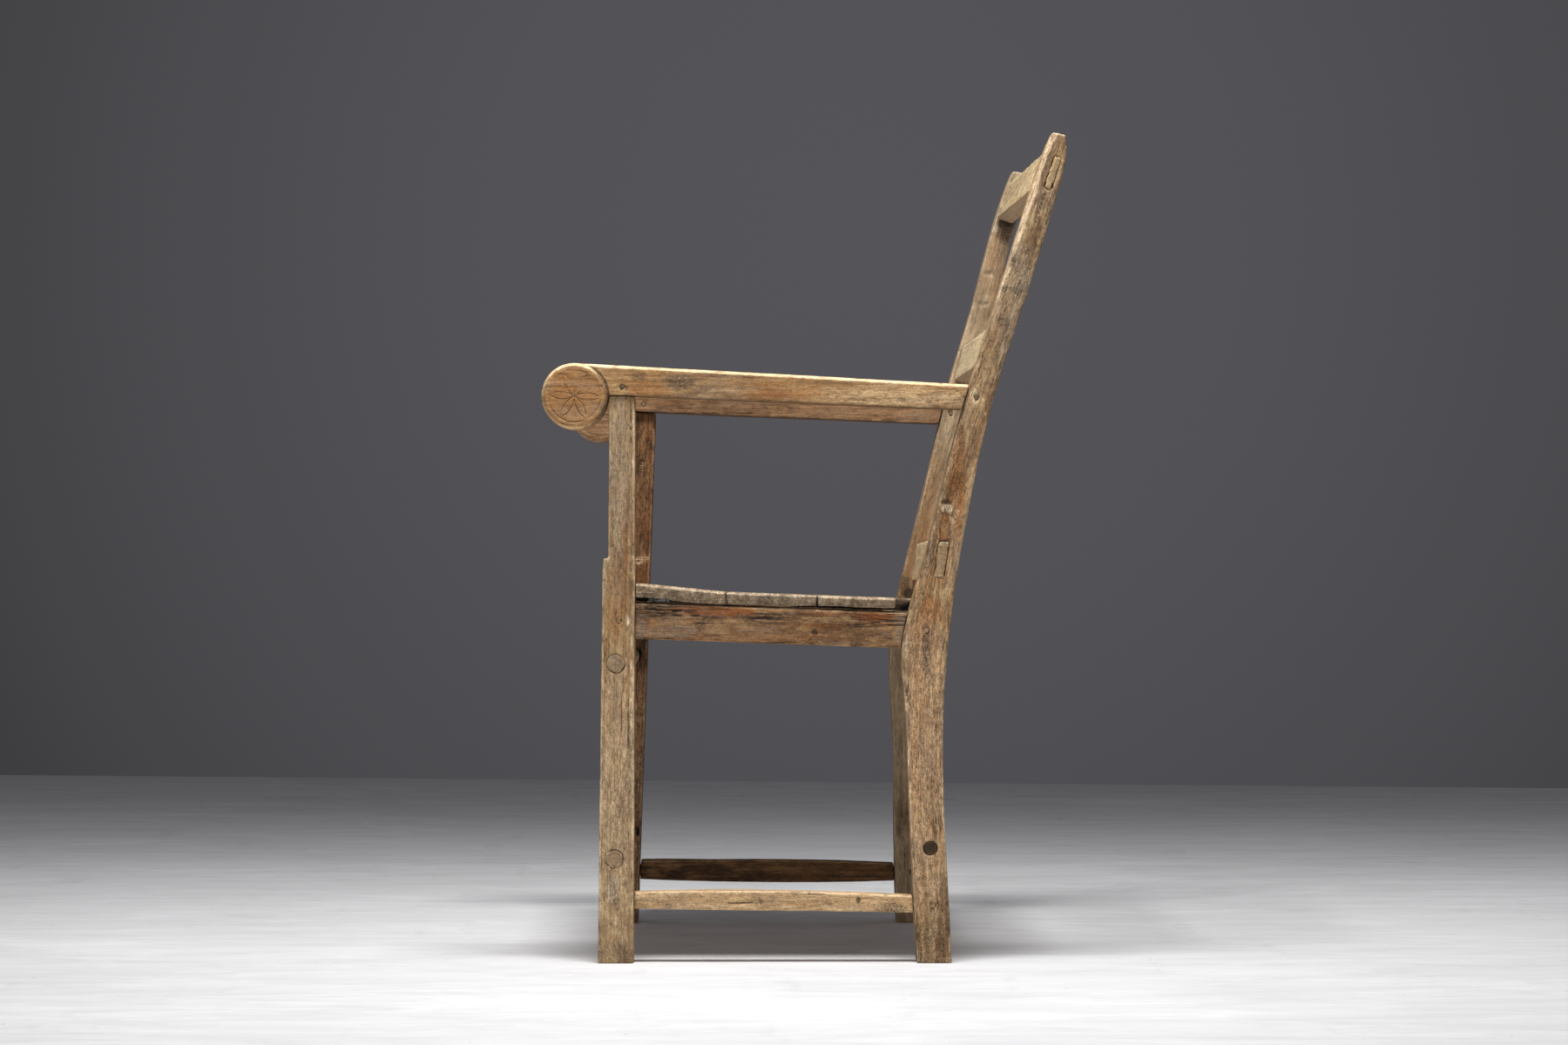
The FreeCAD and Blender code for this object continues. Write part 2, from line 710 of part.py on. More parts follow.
# Put the chair together: blanks first, then what joins them
parts = {}
peg_places = {"arm_pegs": [], "seat_rail_pegs": [], "stretcher_pegs": []}
for name, side in SIDES.items():
    leg, post = leg_blank(name), post_blank(name)
    arm = arm_bar(name).fuse(arm_tenon(name, post)).removeSplitter()
    rail = side_rail(name, leg, post)
    bar = stretcher(name, leg, post)
    tenon = neck_tenon(name)
    parts[name + "_arm"] = arm.cut(tenon)
    parts[name + "_front_leg"] = leg.cut(rail).cut(bar).fuse(tenon).removeSplitter()
    parts[name + "_rear_post"] = post.cut(rail).cut(bar).cut(arm)
    parts[name + "_side_rail"] = rail
    parts[name + "_stretcher"] = bar

    neck_middle = leg_middle(name, disc_z)
    arm_middle = arm_rear_height - arm_rear_depth / 2
    rail_middle = rail_top(name, leg_rear(name, rail_front_height)) - rail_depth / 2
    rear_middle = rail_rear_height - seat_drop[name] - rail_depth / 2
    front_z, rear_z = stretcher_front_height[name], stretcher_rear_height[name]
    leg_node, post_node, arm_node = name + "_front_leg", name + "_rear_post", name + "_arm"
    rail_node, bar_node = name + "_side_rail", name + "_stretcher"
    post_face = post_front[name]
    peg_places["arm_pegs"] += [
        (side, neck_middle, arm_bottom(neck_middle) + arm_peg_rise, leg_node, arm_node),
        (side, curve_y(post_face, arm_middle) + post_peg_inset, arm_middle, post_node, arm_node),
    ]
    peg_places["seat_rail_pegs"] += [
        (side, leg_middle(name, rail_middle), rail_middle, leg_node, rail_node),
        (side, curve_y(post_face, rear_middle) + rail_peg_inset, rear_middle, post_node, rail_node),
    ]
    peg_places["stretcher_pegs"] += [
        (side, leg_middle(name, front_z), front_z, leg_node, bar_node),
        (side, curve_y(post_face, rear_z) + stretcher_peg_inset, rear_z, post_node, bar_node),
    ]

rung_sets = {
    "front_upper_rung": (
        barrelled_bar(), rung_tenon_radius, 0,
        *front_rung_ends(upper_rung_left_height, upper_rung_right_height),
    ),
    "front_lower_rung": (
        barrelled_bar(), rung_tenon_radius, 0,
        *front_rung_ends(lower_rung_left_height, lower_rung_right_height),
    ),
    "rear_rung": (
        hewn_bar(), rear_rung_tenon_radius, rear_rung_recess,
        V(
            half_width,
            post_middle("left", rear_rung_left_height) + rear_rung_setback,
            rear_rung_left_height,
        ),
        V(
            -half_width,
            post_middle("right", rear_rung_right_height) + rear_rung_setback,
            rear_rung_right_height,
        ),
    ),
}
for node, (body, tenon_radius, recess, left_end, right_end) in rung_sets.items():
    parts[node] = rung(body, tenon_radius, recess, left_end, right_end)
    bore = rung_bore(tenon_radius, left_end, right_end)
    for name in SIDES:
        host = name + ("_rear_post" if node == "rear_rung" else "_front_leg")
        parts[host] = parts[host].cut(bore)

crest_middle = {"left": chair_height - crest_left_drop, "right": chair_height - crest_right_drop}
middle_rail_middle = {
    name: between(arm_rear_height, crest_middle[name], middle_rail_place_share) for name in SIDES
}
lower_rail_middle = {
    "left": rail_rear_height + lower_rail_left_rise,
    "right": rail_rear_height + lower_rail_right_rise,
}
parts["crest_rail"] = back_rail(
    crest_middle,
    crest_setback, crest_height, crest_thickness, crest_lean,
    (crest_tenon_height, crest_tenon_thickness, crest_tenon_setback), leg_breadth,
)
parts["middle_back_rail"] = back_rail(
    middle_rail_middle,
    middle_rail_setback, middle_rail_height, middle_rail_thickness, middle_rail_lean,
    (middle_tenon_height, middle_tenon_thickness, middle_tenon_setback), middle_tenon_length,
)
parts["lower_back_rail"] = back_rail(
    lower_rail_middle,
    lower_rail_setback, lower_rail_height, lower_rail_thickness, lower_rail_lean,
    (lower_tenon_height, lower_tenon_thickness, lower_tenon_setback), leg_breadth,
)
for node in ("crest_rail", "middle_back_rail", "lower_back_rail"):
    for name in SIDES:
        parts[name + "_rear_post"] = parts[name + "_rear_post"].cut(parts[node])

# A bore from an old peg, in the right front leg's inner face
hole_start = V(-inner_face, leg_middle("right", old_hole_height), old_hole_height)
old_hole = Part.makeCylinder(
    old_hole_radius, leg_breadth - neck_breadth + old_hole_depth, hole_start, V(-1, 0, 0)
)
parts["right_front_leg"] = parts["right_front_leg"].cut(old_hole)

for place in plank_edges:
    board = plank(place)
    for name in SIDES:
        if place == "front":
            board = board.cut(leg_notch(name))
        if place == "rear":
            board = board.cut(post_notch(name))
    parts["seat_plank_" + place] = board

nails = []
for place in plank_edges:
    for name, side in SIDES.items():
        front, rear = rail_span(place, name)
        x = side * (rail_inner + rail_breadth / 2)
        for share in nail_place_shares:
            y = between(front, rear, share)
            top = plank_top(place, y) + plank_rise(x)
            nails.append(nail(x, y, top, 0, nail_head_thickness))
            hole = nail(x, y, top, fit_gap, plank_thickness)
            for node in ("seat_plank_" + place, name + "_side_rail"):
                parts[node] = parts[node].cut(hole)
parts["seat_nails"] = Part.makeCompound(nails)

# Each peg goes right through the breadth of the leg or arm that it pins
for node, places in peg_places.items():
    pegs = []
    for side, y, z, host, guest in places:
        setback = 0
        length = leg_breadth
        if node == "arm_pegs" and host.endswith("leg"):
            setback = (leg_breadth - arm_breadth) / 2
            length = arm_breadth
        pegs.append(x_bar(peg_radius, side, setback, length, y, z))
        hole = x_bar(peg_radius + fit_gap, side, setback, length, y, z)
        parts[host] = parts[host].cut(hole)
        parts[guest] = parts[guest].cut(hole)
    parts[node] = Part.makeCompound(pegs)

os.makedirs("parts", exist_ok=True)
for node, shape in parts.items():
    shape.exportStep("parts/" + node + ".step")
    print(node, len(shape.Solids), "solids", shape.isValid(), round(shape.Volume / 1000, 1), "cm3")
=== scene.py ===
import itertools
import math

import bmesh
import bpy
import numpy as np
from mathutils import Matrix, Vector


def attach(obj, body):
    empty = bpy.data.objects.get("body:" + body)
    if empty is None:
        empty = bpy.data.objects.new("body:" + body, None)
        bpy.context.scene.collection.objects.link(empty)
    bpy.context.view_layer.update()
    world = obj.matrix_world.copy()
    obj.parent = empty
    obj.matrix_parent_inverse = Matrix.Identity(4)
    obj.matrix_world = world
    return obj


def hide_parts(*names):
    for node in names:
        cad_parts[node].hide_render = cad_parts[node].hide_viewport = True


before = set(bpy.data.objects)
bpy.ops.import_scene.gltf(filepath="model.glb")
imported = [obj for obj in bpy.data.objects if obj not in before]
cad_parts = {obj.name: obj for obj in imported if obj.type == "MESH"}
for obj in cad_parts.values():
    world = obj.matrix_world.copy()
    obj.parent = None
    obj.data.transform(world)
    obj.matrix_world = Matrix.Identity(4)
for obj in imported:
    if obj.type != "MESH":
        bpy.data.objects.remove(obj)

scene = bpy.context.scene
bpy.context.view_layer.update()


# Front legs
# Two hewn legs of old hardwood, thick up to the seat, then a saw-cut shoulder and a thinner neck.
# Squared by axe and plane, chopped for the rail and stretcher, bored for two rungs, and worn
# round along every edge by a century of hands and brooms.

def noise(places, seed):
    """Smooth noise from -1 to 1 at an array of places, with one feature per unit."""
    cell = np.floor(places).astype(np.int64)
    part = places - cell
    part = part * part * (3 - 2 * part)
    total = np.zeros(len(places))
    for corner in itertools.product((0, 1), repeat=3):
        x, y, z = (cell + corner).T
        key = (x * 73856093) ^ (y * 19349663) ^ (z * 83492791) ^ (seed * 2654435761)
        key = ((key ^ (key >> 13)) * 1274126177) & 0xFFFFFFFF
        value = ((key ^ (key >> 16)) & 0xFFFF) / 32767.5 - 1
        total += np.prod(np.where(corner, part, 1 - part), axis=1) * value
    return total


def rough_noise(places, seed, layers=3):
    return sum(noise(places * 2 ** n, seed + 31 * n) / 2 ** (n + 1) for n in range(layers))


def fade(value, low, high):
    """0 below low, 1 above high and smooth between."""
    share = np.clip((value - low) / (high - low), 0, 1)
    return share * share * (3 - 2 * share)


def put(name, data, place=(0, 0, 0)):
    """A new object in the scene."""
    made = bpy.data.objects.new(name, data)
    made.location = place
    scene.collection.objects.link(made)
    return made


def stand_for(piece, node):
    """Puts a piece in the place of its CAD node, which it hides, and hangs it on the root body."""
    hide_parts(node)
    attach(piece, "root")


def read(items, name, width, kind=float):
    """One property of all the points or edges of a mesh, as rows of numbers."""
    flat = np.empty(len(items) * width, kind)
    items.foreach_get(name, flat)
    return flat.reshape(-1, width)


def write_layer(mesh, name, columns):
    """Three numbers for every point of a mesh, which its material reads by name."""
    layer = mesh.attributes.new(name, "FLOAT_VECTOR", "POINT")
    layer.data.foreach_set("vector", columns.ravel().astype(np.float32))


class Timber:
    """A wooden member, copied from its CAD node into a fine mesh that can be worked and worn."""

    def __init__(self, node, along, seed, voxel, pith=(0.05, 0.035), bend=1, fine=None):
        self.node = node
        self.seed = seed
        self.chance = np.random.default_rng(seed)
        self.piece = put("old_" + node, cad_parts[node].data.copy())
        self.piece.data.materials.clear()
        remesh = self.piece.modifiers.new("fine", "REMESH")
        remesh.mode = "VOXEL"
        remesh.voxel_size = voxel * 1
        graph = bpy.context.evaluated_depsgraph_get()
        self.piece.data = bpy.data.meshes.new_from_object(self.piece.evaluated_get(graph))
        self.piece.modifiers.clear()
        if fine:
            self.refine(fine)
        self.points = read(self.piece.data.vertices, "co", 3)
        self.edges = read(self.piece.data.edges, "vertices", 2, np.int64)
        # Grain coordinates: along the member, then across it from a pith outside its section
        across = [axis for axis in range(3) if axis != along]
        self.axis = along
        lines = [np.polyfit(self.points[:, along], self.points[:, a], bend) for a in across]
        self.lines = dict(zip(across, lines))
        self.pith = dict(zip(across, pith))
        self.marks = {}

    def refine(self, wanted):
        """Divides the mesh more finely where the test asks for it."""
        mesh = bmesh.new()
        mesh.from_mesh(self.piece.data)
        edges = [edge for edge in mesh.edges if all(wanted(corner.co) for corner in edge.verts)]
        bmesh.ops.subdivide_edges(mesh, edges=edges, cuts=2, use_grid_fill=True)
        mesh.to_mesh(self.piece.data)
        mesh.free()

    def normals(self):
        """Writes the points back, and reads the normals of the surface that they make."""
        self.piece.data.vertices.foreach_set("co", self.points.ravel())
        self.piece.data.update()
        return read(self.piece.data.vertex_normals, "vector", 3)

    def grain(self):
        """Each point's place along and across the grain, in metres."""
        run = self.points[:, self.axis]
        columns = [run + 1.7 * self.seed]
        for axis, line in self.lines.items():
            columns.append(self.points[:, axis] - np.polyval(line, run) + self.pith[axis])
        return np.stack(columns, axis=1)

    def slope(self, height):
        """How fast an upright member leans back at a height."""
        return np.polyval(np.polyder(self.lines[1]), height)

    def outermost(self, axis, pick, bands):
        """The member's least or greatest place along an axis, level with each of its points."""
        run = self.points[:, self.axis]
        bounds = np.linspace(run.min(), run.max(), bands)
        band = np.digitize(run, bounds)
        ends = [pick(self.points[band == n, axis]) for n in range(1, bands)]
        return np.interp(run, (bounds[1:] + bounds[:-1]) / 2, ends)

    def softened(self, rounds):
        """The points after evening out each with its neighbours."""
        count = len(self.points)
        first, second = self.edges.T
        links = np.bincount(self.edges.ravel(), minlength=count)
        moved = self.points.copy()
        for _ in range(rounds):
            sums = np.empty_like(moved)
            for k in range(3):
                sums[:, k] = np.bincount(first, moved[second, k], count)
                sums[:, k] += np.bincount(second, moved[first, k], count)
            moved += 0.6 * (sums / links[:, None] - moved)
        return moved

    def wear_edges(self, rounds=7, least=0.35, spare=()):
        """Rounds the arrises unevenly, and remembers where they are and where corners lie.
        Spare lists spots whose tight joints stay sharp, as (Y, Z, reach) in millimetres."""
        normals = self.normals()
        soft = self.softened(rounds)
        outward = np.einsum("ij,ij->i", self.points - soft, normals)
        sideways = np.minimum(np.abs(normals[:, 0]), 1)
        slanted = 1 - fade(np.maximum(sideways, np.sqrt(1 - sideways ** 2)), 0.8, 0.95)
        # Pale arrises are wear and also a painted highlight, so those that face down get less
        upward = 0.25 + 0.75 * fade(normals[:, 2], -0.45, 0.05)
        self.marks["edge"] = np.maximum(fade(outward, 0.0002, 0.0011), 0.6 * slanted) * upward
        # Hollows and inner corners are marked to be darkened: painted shade
        self.marks["hollow"] = fade(-outward, 0.00015, 0.0008)
        share = least + (1 - least) * fade(rough_noise(self.points * 45, self.seed), -0.35, 0.4)
        for y, z, reach in spare:
            away = np.linalg.norm(self.points[:, 1:] * 1000 - (y, z), axis=1)
            kept = fade(away, reach * 0.75, reach)
            share = share * (0.12 + 0.88 * kept)
            self.marks["edge"] *= kept
            self.marks["hollow"] *= 0.25 + 0.75 * kept
        self.points += (soft - self.points) * share[:, None]

    def push(self, depth):
        """Moves every point in or out along its normal, by an array of depths."""
        self.points += self.normals() * depth[:, None]

    def hew(self, depth=0.0007, ridge=0.0002):
        """Shallow tool hollows and raised grain, all cut inwards. The foot stays on the floor."""
        grain = self.grain()
        hollows = rough_noise(grain * (14, 38, 38), self.seed + 1, 2)
        ridges = noise(grain * (16, 310, 310), self.seed + 2)
        cut = -depth * fade(hollows, -0.6, 0.6) - ridge * (ridges + 1) / 2
        self.push(cut * fade(self.points[:, 2], 0.0, 0.004))
        self.facing = self.normals()

    def within(self, one, other, margin):
        """Numbers of the points in the box round two spots, in metres."""
        low, high = np.minimum(one, other) - margin, np.maximum(one, other) + margin
        return np.flatnonzero(np.all((self.points > low) & (self.points < high), axis=1))

    def wedge(self, depth=0.0011):
        """Swells the tenons' ends that show outside, as if wedged tight but for a few gaps."""
        tight = fade(np.abs(self.points[:, 0]), 0.262, 0.265)
        tight *= fade(1 - np.abs(self.facing[:, 0]), 0.1, 0.5)
        self.push(depth * tight * fade(noise(self.points * 150, self.seed + 9), -0.45, 0.05))
        self.facing = self.normals()

    def raise_mark(self, kind, which, level):
        """Brings the marks of some points up to a level. Marks say where the wood is worn, stained
        or split, and the wood's material reads them."""
        marks = self.marks.setdefault(kind, np.zeros(len(self.points)))
        marks[which] = np.maximum(marks[which], level)

    def near(self, spot, reach, raggedness):
        """The points in an uneven patch, and how far in. Spot and reach are in millimetres."""
        spot, reach = np.array(spot) / 1000, np.array(reach) / 1000
        which = self.within(spot, spot, reach * 1.4)
        distance = np.linalg.norm((self.points[which] - spot) / reach, axis=1)
        distance += raggedness * rough_noise(self.points[which] * 130, self.seed + 7)
        return which, 1 - fade(distance, 0.55, 1.1)

    def mark(self, kind, spot, reach, strength=1.0):
        which, level = self.near(spot, reach, 0.35)
        self.raise_mark(kind, which, level * strength)

    def mark_all(self, kind, level):
        self.raise_mark(kind, slice(None), level)

    def marks_on(self, x, rows):
        """Marks on the face at x. A row is a kind, (Y, Z), the reach, and how strong it is."""
        for kind, spot, *rest in rows:
            self.mark(kind, (x, *spot), *rest)

    def dent(self, spot, reach, depth):
        """A knock or a chip, as deep as the given millimetres in the middle."""
        which, level = self.near(spot, reach, 0.2)
        self.points[which] -= self.facing[which] * (level * depth / 1000)[:, None]
        # A dent is marked as a hollow, which is darkened as painted shade
        self.raise_mark("hollow", which, level * 0.5)

    def ring(self, x, y, z, radius, strength=0.8):
        """The broken dark line of dirt round a tenon or a peg that shows at one side."""
        spot = np.array((x, y, z)) / 1000
        which = self.within(spot, spot, (radius + 3) / 1000)
        away = np.linalg.norm(self.points[which][:, 1:] * 1000 - (y, z), axis=1)
        away += 0.7 * noise(self.points[which] * 350, self.seed + 5)
        patches = 0.35 + 0.65 * fade(noise(self.points[which] * 190, self.seed + 6), -0.5, 0.3)
        level = (1 - fade(np.abs(away - radius), 0.35, 1.15)) * patches
        self.raise_mark("line", which, level * strength)

    def split(self, start, end, width, depth, kind="line", strength=1.0):
        """A crack between two spots, all in millimetres, that wanders a little and tapers out."""
        start, end = np.array(start) / 1000, np.array(end) / 1000
        which = self.within(start, end, 0.004)
        run, points = end - start, self.points[which]
        share = np.clip((points - start) @ run / (run @ run), 0, 1)
        line = start + share[:, None] * run
        wander = noise(line * 110, self.seed + 11)[:, None] * 0.0011
        wander = wander * np.array([k != self.axis for k in range(3)])
        distance = np.linalg.norm(points - line - wander, axis=1)
        half = width / 2000 * np.sqrt(np.clip(4 * share * (1 - share), 0.02, 1))
        level = 1 - fade(distance, half * 0.5, half + 0.0007)
        self.points[which] -= self.facing[which] * (level * depth / 1000)[:, None]
        self.raise_mark(kind, which, level * strength)

    def splits_on(self, x, rows):
        """Cracks on the face at x. A row is (Y, Z), (Y, Z), and the rest that split takes."""
        for start, end, *rest in rows:
            self.split((x, *start), (x, *end), *rest)

    def season(self, count, longest=70):
        """Drying cracks at random places, all along the grain."""
        for _ in range(count):
            start = self.chance.integers(len(self.points))
            if abs(self.facing[start, self.axis]) > 0.4:
                continue
            length = self.chance.uniform(0.25, 1) * longest
            spot = self.points[start] * 1000
            end = spot.copy()
            end[self.axis] += length
            if self.axis == 2:
                end[1] += self.slope(spot[2] / 1000) * length
            self.split(spot, end, self.chance.uniform(0.3, 0.8), self.chance.uniform(0.3, 0.9))

    def nick(self, count):
        """Knocks up to 0.8 mm deep at random places, most of them on the arrises."""
        weight = 0.03 + self.marks["edge"]
        for start in self.chance.choice(len(self.points), count, p=weight / weight.sum()):
            spot = self.points[start] * 1000
            reach = self.chance.uniform(1.5, 4.5, 3)
            self.dent(spot, reach, self.chance.uniform(0.3, 1) * 0.8)

    def finish(self, material, slot):
        """Writes the worked points and their marks back, and puts the piece in its place."""
        normals = self.normals()
        count = len(self.points)
        run = np.zeros((count, 3))
        run[:, self.axis] = 1
        if self.axis == 2:
            run[:, 1] = self.slope(self.points[:, 2])
            run /= np.linalg.norm(run, axis=1)[:, None]
        self.marks["end"] = fade(np.abs(np.einsum("ij,ij->i", normals, run)), 0.55, 0.85)
        mesh = self.piece.data
        # The layers carry wear, stains and scars, and also the painted shade and highlights put into the
        # edge, hollow, grime, pale and line marks
        layers = {
            "wear_and_shading": ("edge", "hollow", "end"), "stains_and_shade": ("silver", "ruddy", "grime"),
            "scars_and_shading": ("cracked", "pale", "line"),
        }
        write_layer(mesh, "grain", self.grain())
        for name, kinds in layers.items():
            columns = [self.marks.get(kind, np.zeros(count)) for kind in kinds]
            write_layer(mesh, name, np.stack(columns, axis=1))
        mesh.shade_smooth()
        mesh.materials.append(material)
        stand_for(self.piece, self.node)


class Shade:
    """A socket of a material's nodes. Sums of shades and numbers add Math nodes."""

    def __init__(self, tree, socket=None):
        self.tree = tree
        self.socket = socket

    def node(self, kind, settings, inputs, output=0):
        """Adds a node: its settings first, then a value or a link for each named input."""
        made = self.tree.nodes.new(kind)
        for name, value in settings.items():
            setattr(made, name, value)
        for name, value in inputs.items():
            if isinstance(value, Shade):
                self.tree.links.new(value.socket, made.inputs[name])
            else:
                made.inputs[name].default_value = value
        return Shade(self.tree, made.outputs[output])

    def math(self, operation, *values):
        return self.node("ShaderNodeMath", {"operation": operation}, dict(enumerate(values)))

    def __add__(self, other):
        return self.math("ADD", self, other)

    def __radd__(self, other):
        return self.math("ADD", other, self)

    def __sub__(self, other):
        return self.math("SUBTRACT", self, other)

    def __rsub__(self, other):
        return self.math("SUBTRACT", other, self)

    def __mul__(self, other):
        return self.math("MULTIPLY", self, other)

    def __rmul__(self, other):
        return self.math("MULTIPLY", other, self)

    def ramp(self, low, high):
        """0 below low, 1 above high and smooth between. High may lie below low."""
        return self.node(
            "ShaderNodeMapRange", {"interpolation_type": "SMOOTHSTEP"},
            {"Value": self, "From Min": low, "From Max": high}, "Result",
        )

    def blend(self, other, share):
        """This colour turned into another one by a share."""
        return self.node("ShaderNodeMix", {"data_type": "RGBA"}, {0: share, 6: self, 7: other}, 2)

    def vector(self, operation, inputs):
        return self.node("ShaderNodeVectorMath", {"operation": operation}, {0: self, **inputs}, "Vector")

    def grainy(self, stretch, detail=2.0, roughness=0.5, distortion=0.0):
        """Noise at this place, stretched by three frequencies per metre."""
        return self.node(
            "ShaderNodeTexNoise", {"noise_dimensions": "3D"},
            {
                "Vector": self.vector("MULTIPLY", {1: stretch}), "Scale": 1.0, "Detail": detail,
                "Roughness": roughness, "Distortion": distortion,
            },
            "Fac",
        )

    def split(self):
        parts = self.node("ShaderNodeSeparateXYZ", {}, {"Vector": self}).socket.node
        return [Shade(self.tree, socket) for socket in parts.outputs]

    def combine(self, x, y, z):
        return self.node("ShaderNodeCombineXYZ", {}, {0: x, 1: y, 2: z}, "Vector")

    def position(self):
        return self.node("ShaderNodeNewGeometry", {}, {}, "Position")

    def between(self, low, high):
        """One plain colour where this share is 0, another where it is 1."""
        return self.node(
            "ShaderNodeMix", {"data_type": "RGBA"}, {0: self, 6: (*low, 1), 7: (*high, 1)}, 2
        )

    def into(self, surface, name):
        """Feeds this to one of a shader's sockets."""
        self.tree.links.new(self.socket, surface.inputs[name])

    def bump(self, surface, strength, distance):
        """Roughens a shader's surface by this height."""
        sockets = {"Strength": strength, "Distance": distance, "Height": self}
        self.node("ShaderNodeBump", {}, sockets).into(surface, "Normal")


def new_finish(name, settings):
    """A new material, its surface shader with some settings, and a start for its nodes."""
    material = bpy.data.materials.new(name)
    material.use_nodes = True
    tree = material.node_tree
    surface = tree.nodes["Principled BSDF"]
    for socket, value in settings.items():
        surface.inputs[socket].default_value = value
    return material, surface, Shade(tree)


def old_wood(
    name, light, middle, dark,
    silver=0.35, ruddy=0.3, grime=0.4, cracks=0.35, rough=1.0, ruddy_tint=(0.95, 0.68, 0.45),
):
    """Bare weathered wood. The shares say how silvered, ruddy, cracked and rough it is, and how much
    grime and painted shade it carries.
    """
    material, board, start = new_finish(name, {"Specular IOR Level": 0.3})

    def layer(attribute):
        return start.node("ShaderNodeAttribute", {"attribute_name": attribute}, {}, "Vector")

    grain = layer("grain")
    edge, hollow, end = layer("wear_and_shading").split()
    silver_mark, ruddy_mark, grime_and_shade_mark = layer("stains_and_shade").split()
    crack_mark, pale_mark, line_mark = layer("scars_and_shading").split()
    along, up, through = grain.split()
    side = 1 - end

    # Tones from broad to fine: bands, mottling, growth rings, fibres, pores
    broad = grain.grainy((5, 30, 30), 3, 0.55)
    mottle = grain.grainy((34, 120, 120), 5, 0.7)
    streak = grain.grainy((8, 240, 240), 3, 0.6, 0.1)
    stipple = grain.grainy((130, 300, 300), 4, 0.7, 0.6)
    fibre = grain.grainy((90, 640, 640), 4, 0.7)
    speckle = grain.grainy((560, 900, 900), 3, 0.7)
    pores = grain.grainy((400, 250, 560), 5, 0.8, 0.3)
    sway = grain.grainy((3, 16, 16), 2, 0.5)
    pith_distance = start.math("SQRT", up * up + through * through)
    rings = start.math("SINE", (pith_distance + 0.016 * sway) * 1750.0) * 0.5 + 0.5
    rings = rings * grain.grainy((5, 90, 90), 2, 0.5).ramp(0.38, 0.62)
    hair = grain.grainy((24, 820, 820), 3, 0.6, 0.15).ramp(0.57, 0.67)
    fleck = grain.grainy((190, 1150, 1150), 2, 0.5).ramp(0.6, 0.68) * side
    weave = start.math("ABSOLUTE", grain.grainy((9, 190, 190), 3, 0.55, 0.4) - 0.5)
    crackable = crack_mark + cracks * grain.grainy((11, 40, 40), 2, 0.5).ramp(0.5, 0.68)
    crack = weave.ramp(0.034, 0.006) * crackable.ramp(0.15, 0.75)
    slant = start.combine(along * 0.83 + up * 0.55, up * 0.83 - along * 0.55, through)
    scratch = start.math("ABSOLUTE", slant.grainy((40, 330, 330), 2, 0.5, 0.2) - 0.5).ramp(0.03, 0.0)
    scratch = scratch * (0.12 + pale_mark)

    colour = (broad * 0.6 + mottle * 0.4).ramp(0.4, 0.56).between(dark, middle)
    colour = colour.blend((*light, 1), (mottle * 0.7 + streak * 0.3).ramp(0.46, 0.64) * 0.85)
    red = tuple(c * k for c, k in zip(middle, ruddy_tint))
    ruddy_share = ruddy * grain.grainy((6, 60, 60), 4, 0.65).ramp(0.5, 0.64) + ruddy_mark
    colour = colour.blend((*red, 1), start.math("MINIMUM", ruddy_share, 0.85))
    level = sum(light) / 3
    ash = (level * 0.95, level * 0.77, level * 0.585)
    silver_share = silver * grain.grainy((14, 52, 52), 5, 0.68).ramp(0.47, 0.64) + silver_mark * 0.8
    silver_share = start.math("MINIMUM", silver_share + 0.12 * end, 0.9)
    colour = colour.blend((*ash, 1), silver_share * fibre.ramp(0.3, 0.6))
    glow = tuple(1.08 * c ** 0.7 for c in light)
    # Pale edges, pale marks and scratches: wear, and painted highlights on arrises and faces that look
    # up
    worn_and_highlit = edge * mottle.ramp(0.34, 0.54) * 0.9 + pale_mark * 0.85 * fibre.ramp(0.3, 0.55) + scratch
    colour = colour.blend((*glow, 1), start.math("MINIMUM", worn_and_highlit, 0.9))

    # Everything that darkens: rings, fibres, pores, grime, painted shade in hollows, corners and dark
    # lines, and cracks
    tones = (fibre - 0.5) * (0.95 * rough) + (speckle - 0.5) * (1.25 * rough) + (streak - 0.5) * 0.5
    tones = tones + (stipple - 0.5) * (1.1 * rough)
    shade = start.math("MAXIMUM", tones + 1.0, 0.3) * (1 - 0.18 * rings)
    shade = shade * (1 - 0.24 * rough * hair * side) * (1 - 0.3 * rough * fleck)
    shade = shade * (1 - end * pores.ramp(0.52, 0.38) * (0.4 * rough))
    shade = shade * (1 + 0.25 * end * pores.ramp(0.52, 0.66))
    dirt_and_shade = grime * grain.grainy((50, 110, 110), 4, 0.65).ramp(0.52, 0.68) + grime_and_shade_mark
    dirt_and_shade = start.math("MINIMUM", dirt_and_shade, 1.0) * (0.55 + speckle.ramp(0.56, 0.42) * 0.75)
    shade = shade * (1 - 0.6 * dirt_and_shade) * (1 - 0.2 * end) * (1 - 0.6 * hollow) * (1 + 0.35 * worn_and_highlit)
    shade = shade * (1 - 0.82 * crack) * (1 - 0.75 * line_mark)
    colour.vector("SCALE", {"Scale": shade}).into(board, "Base Color")

    gloss = 0.66 + 0.16 * fibre + 0.1 * silver_share - 0.16 * edge
    gloss.into(board, "Roughness")
    height = 0.6 * fibre + 0.3 * speckle + 0.2 * rings - 0.3 * hair - 0.35 * fleck - 1.3 * crack
    height.bump(board, 0.8, 0.0008)
    return material


# X of the two sides that the photograph shows, in millimetres
outside, inside = 270, -228

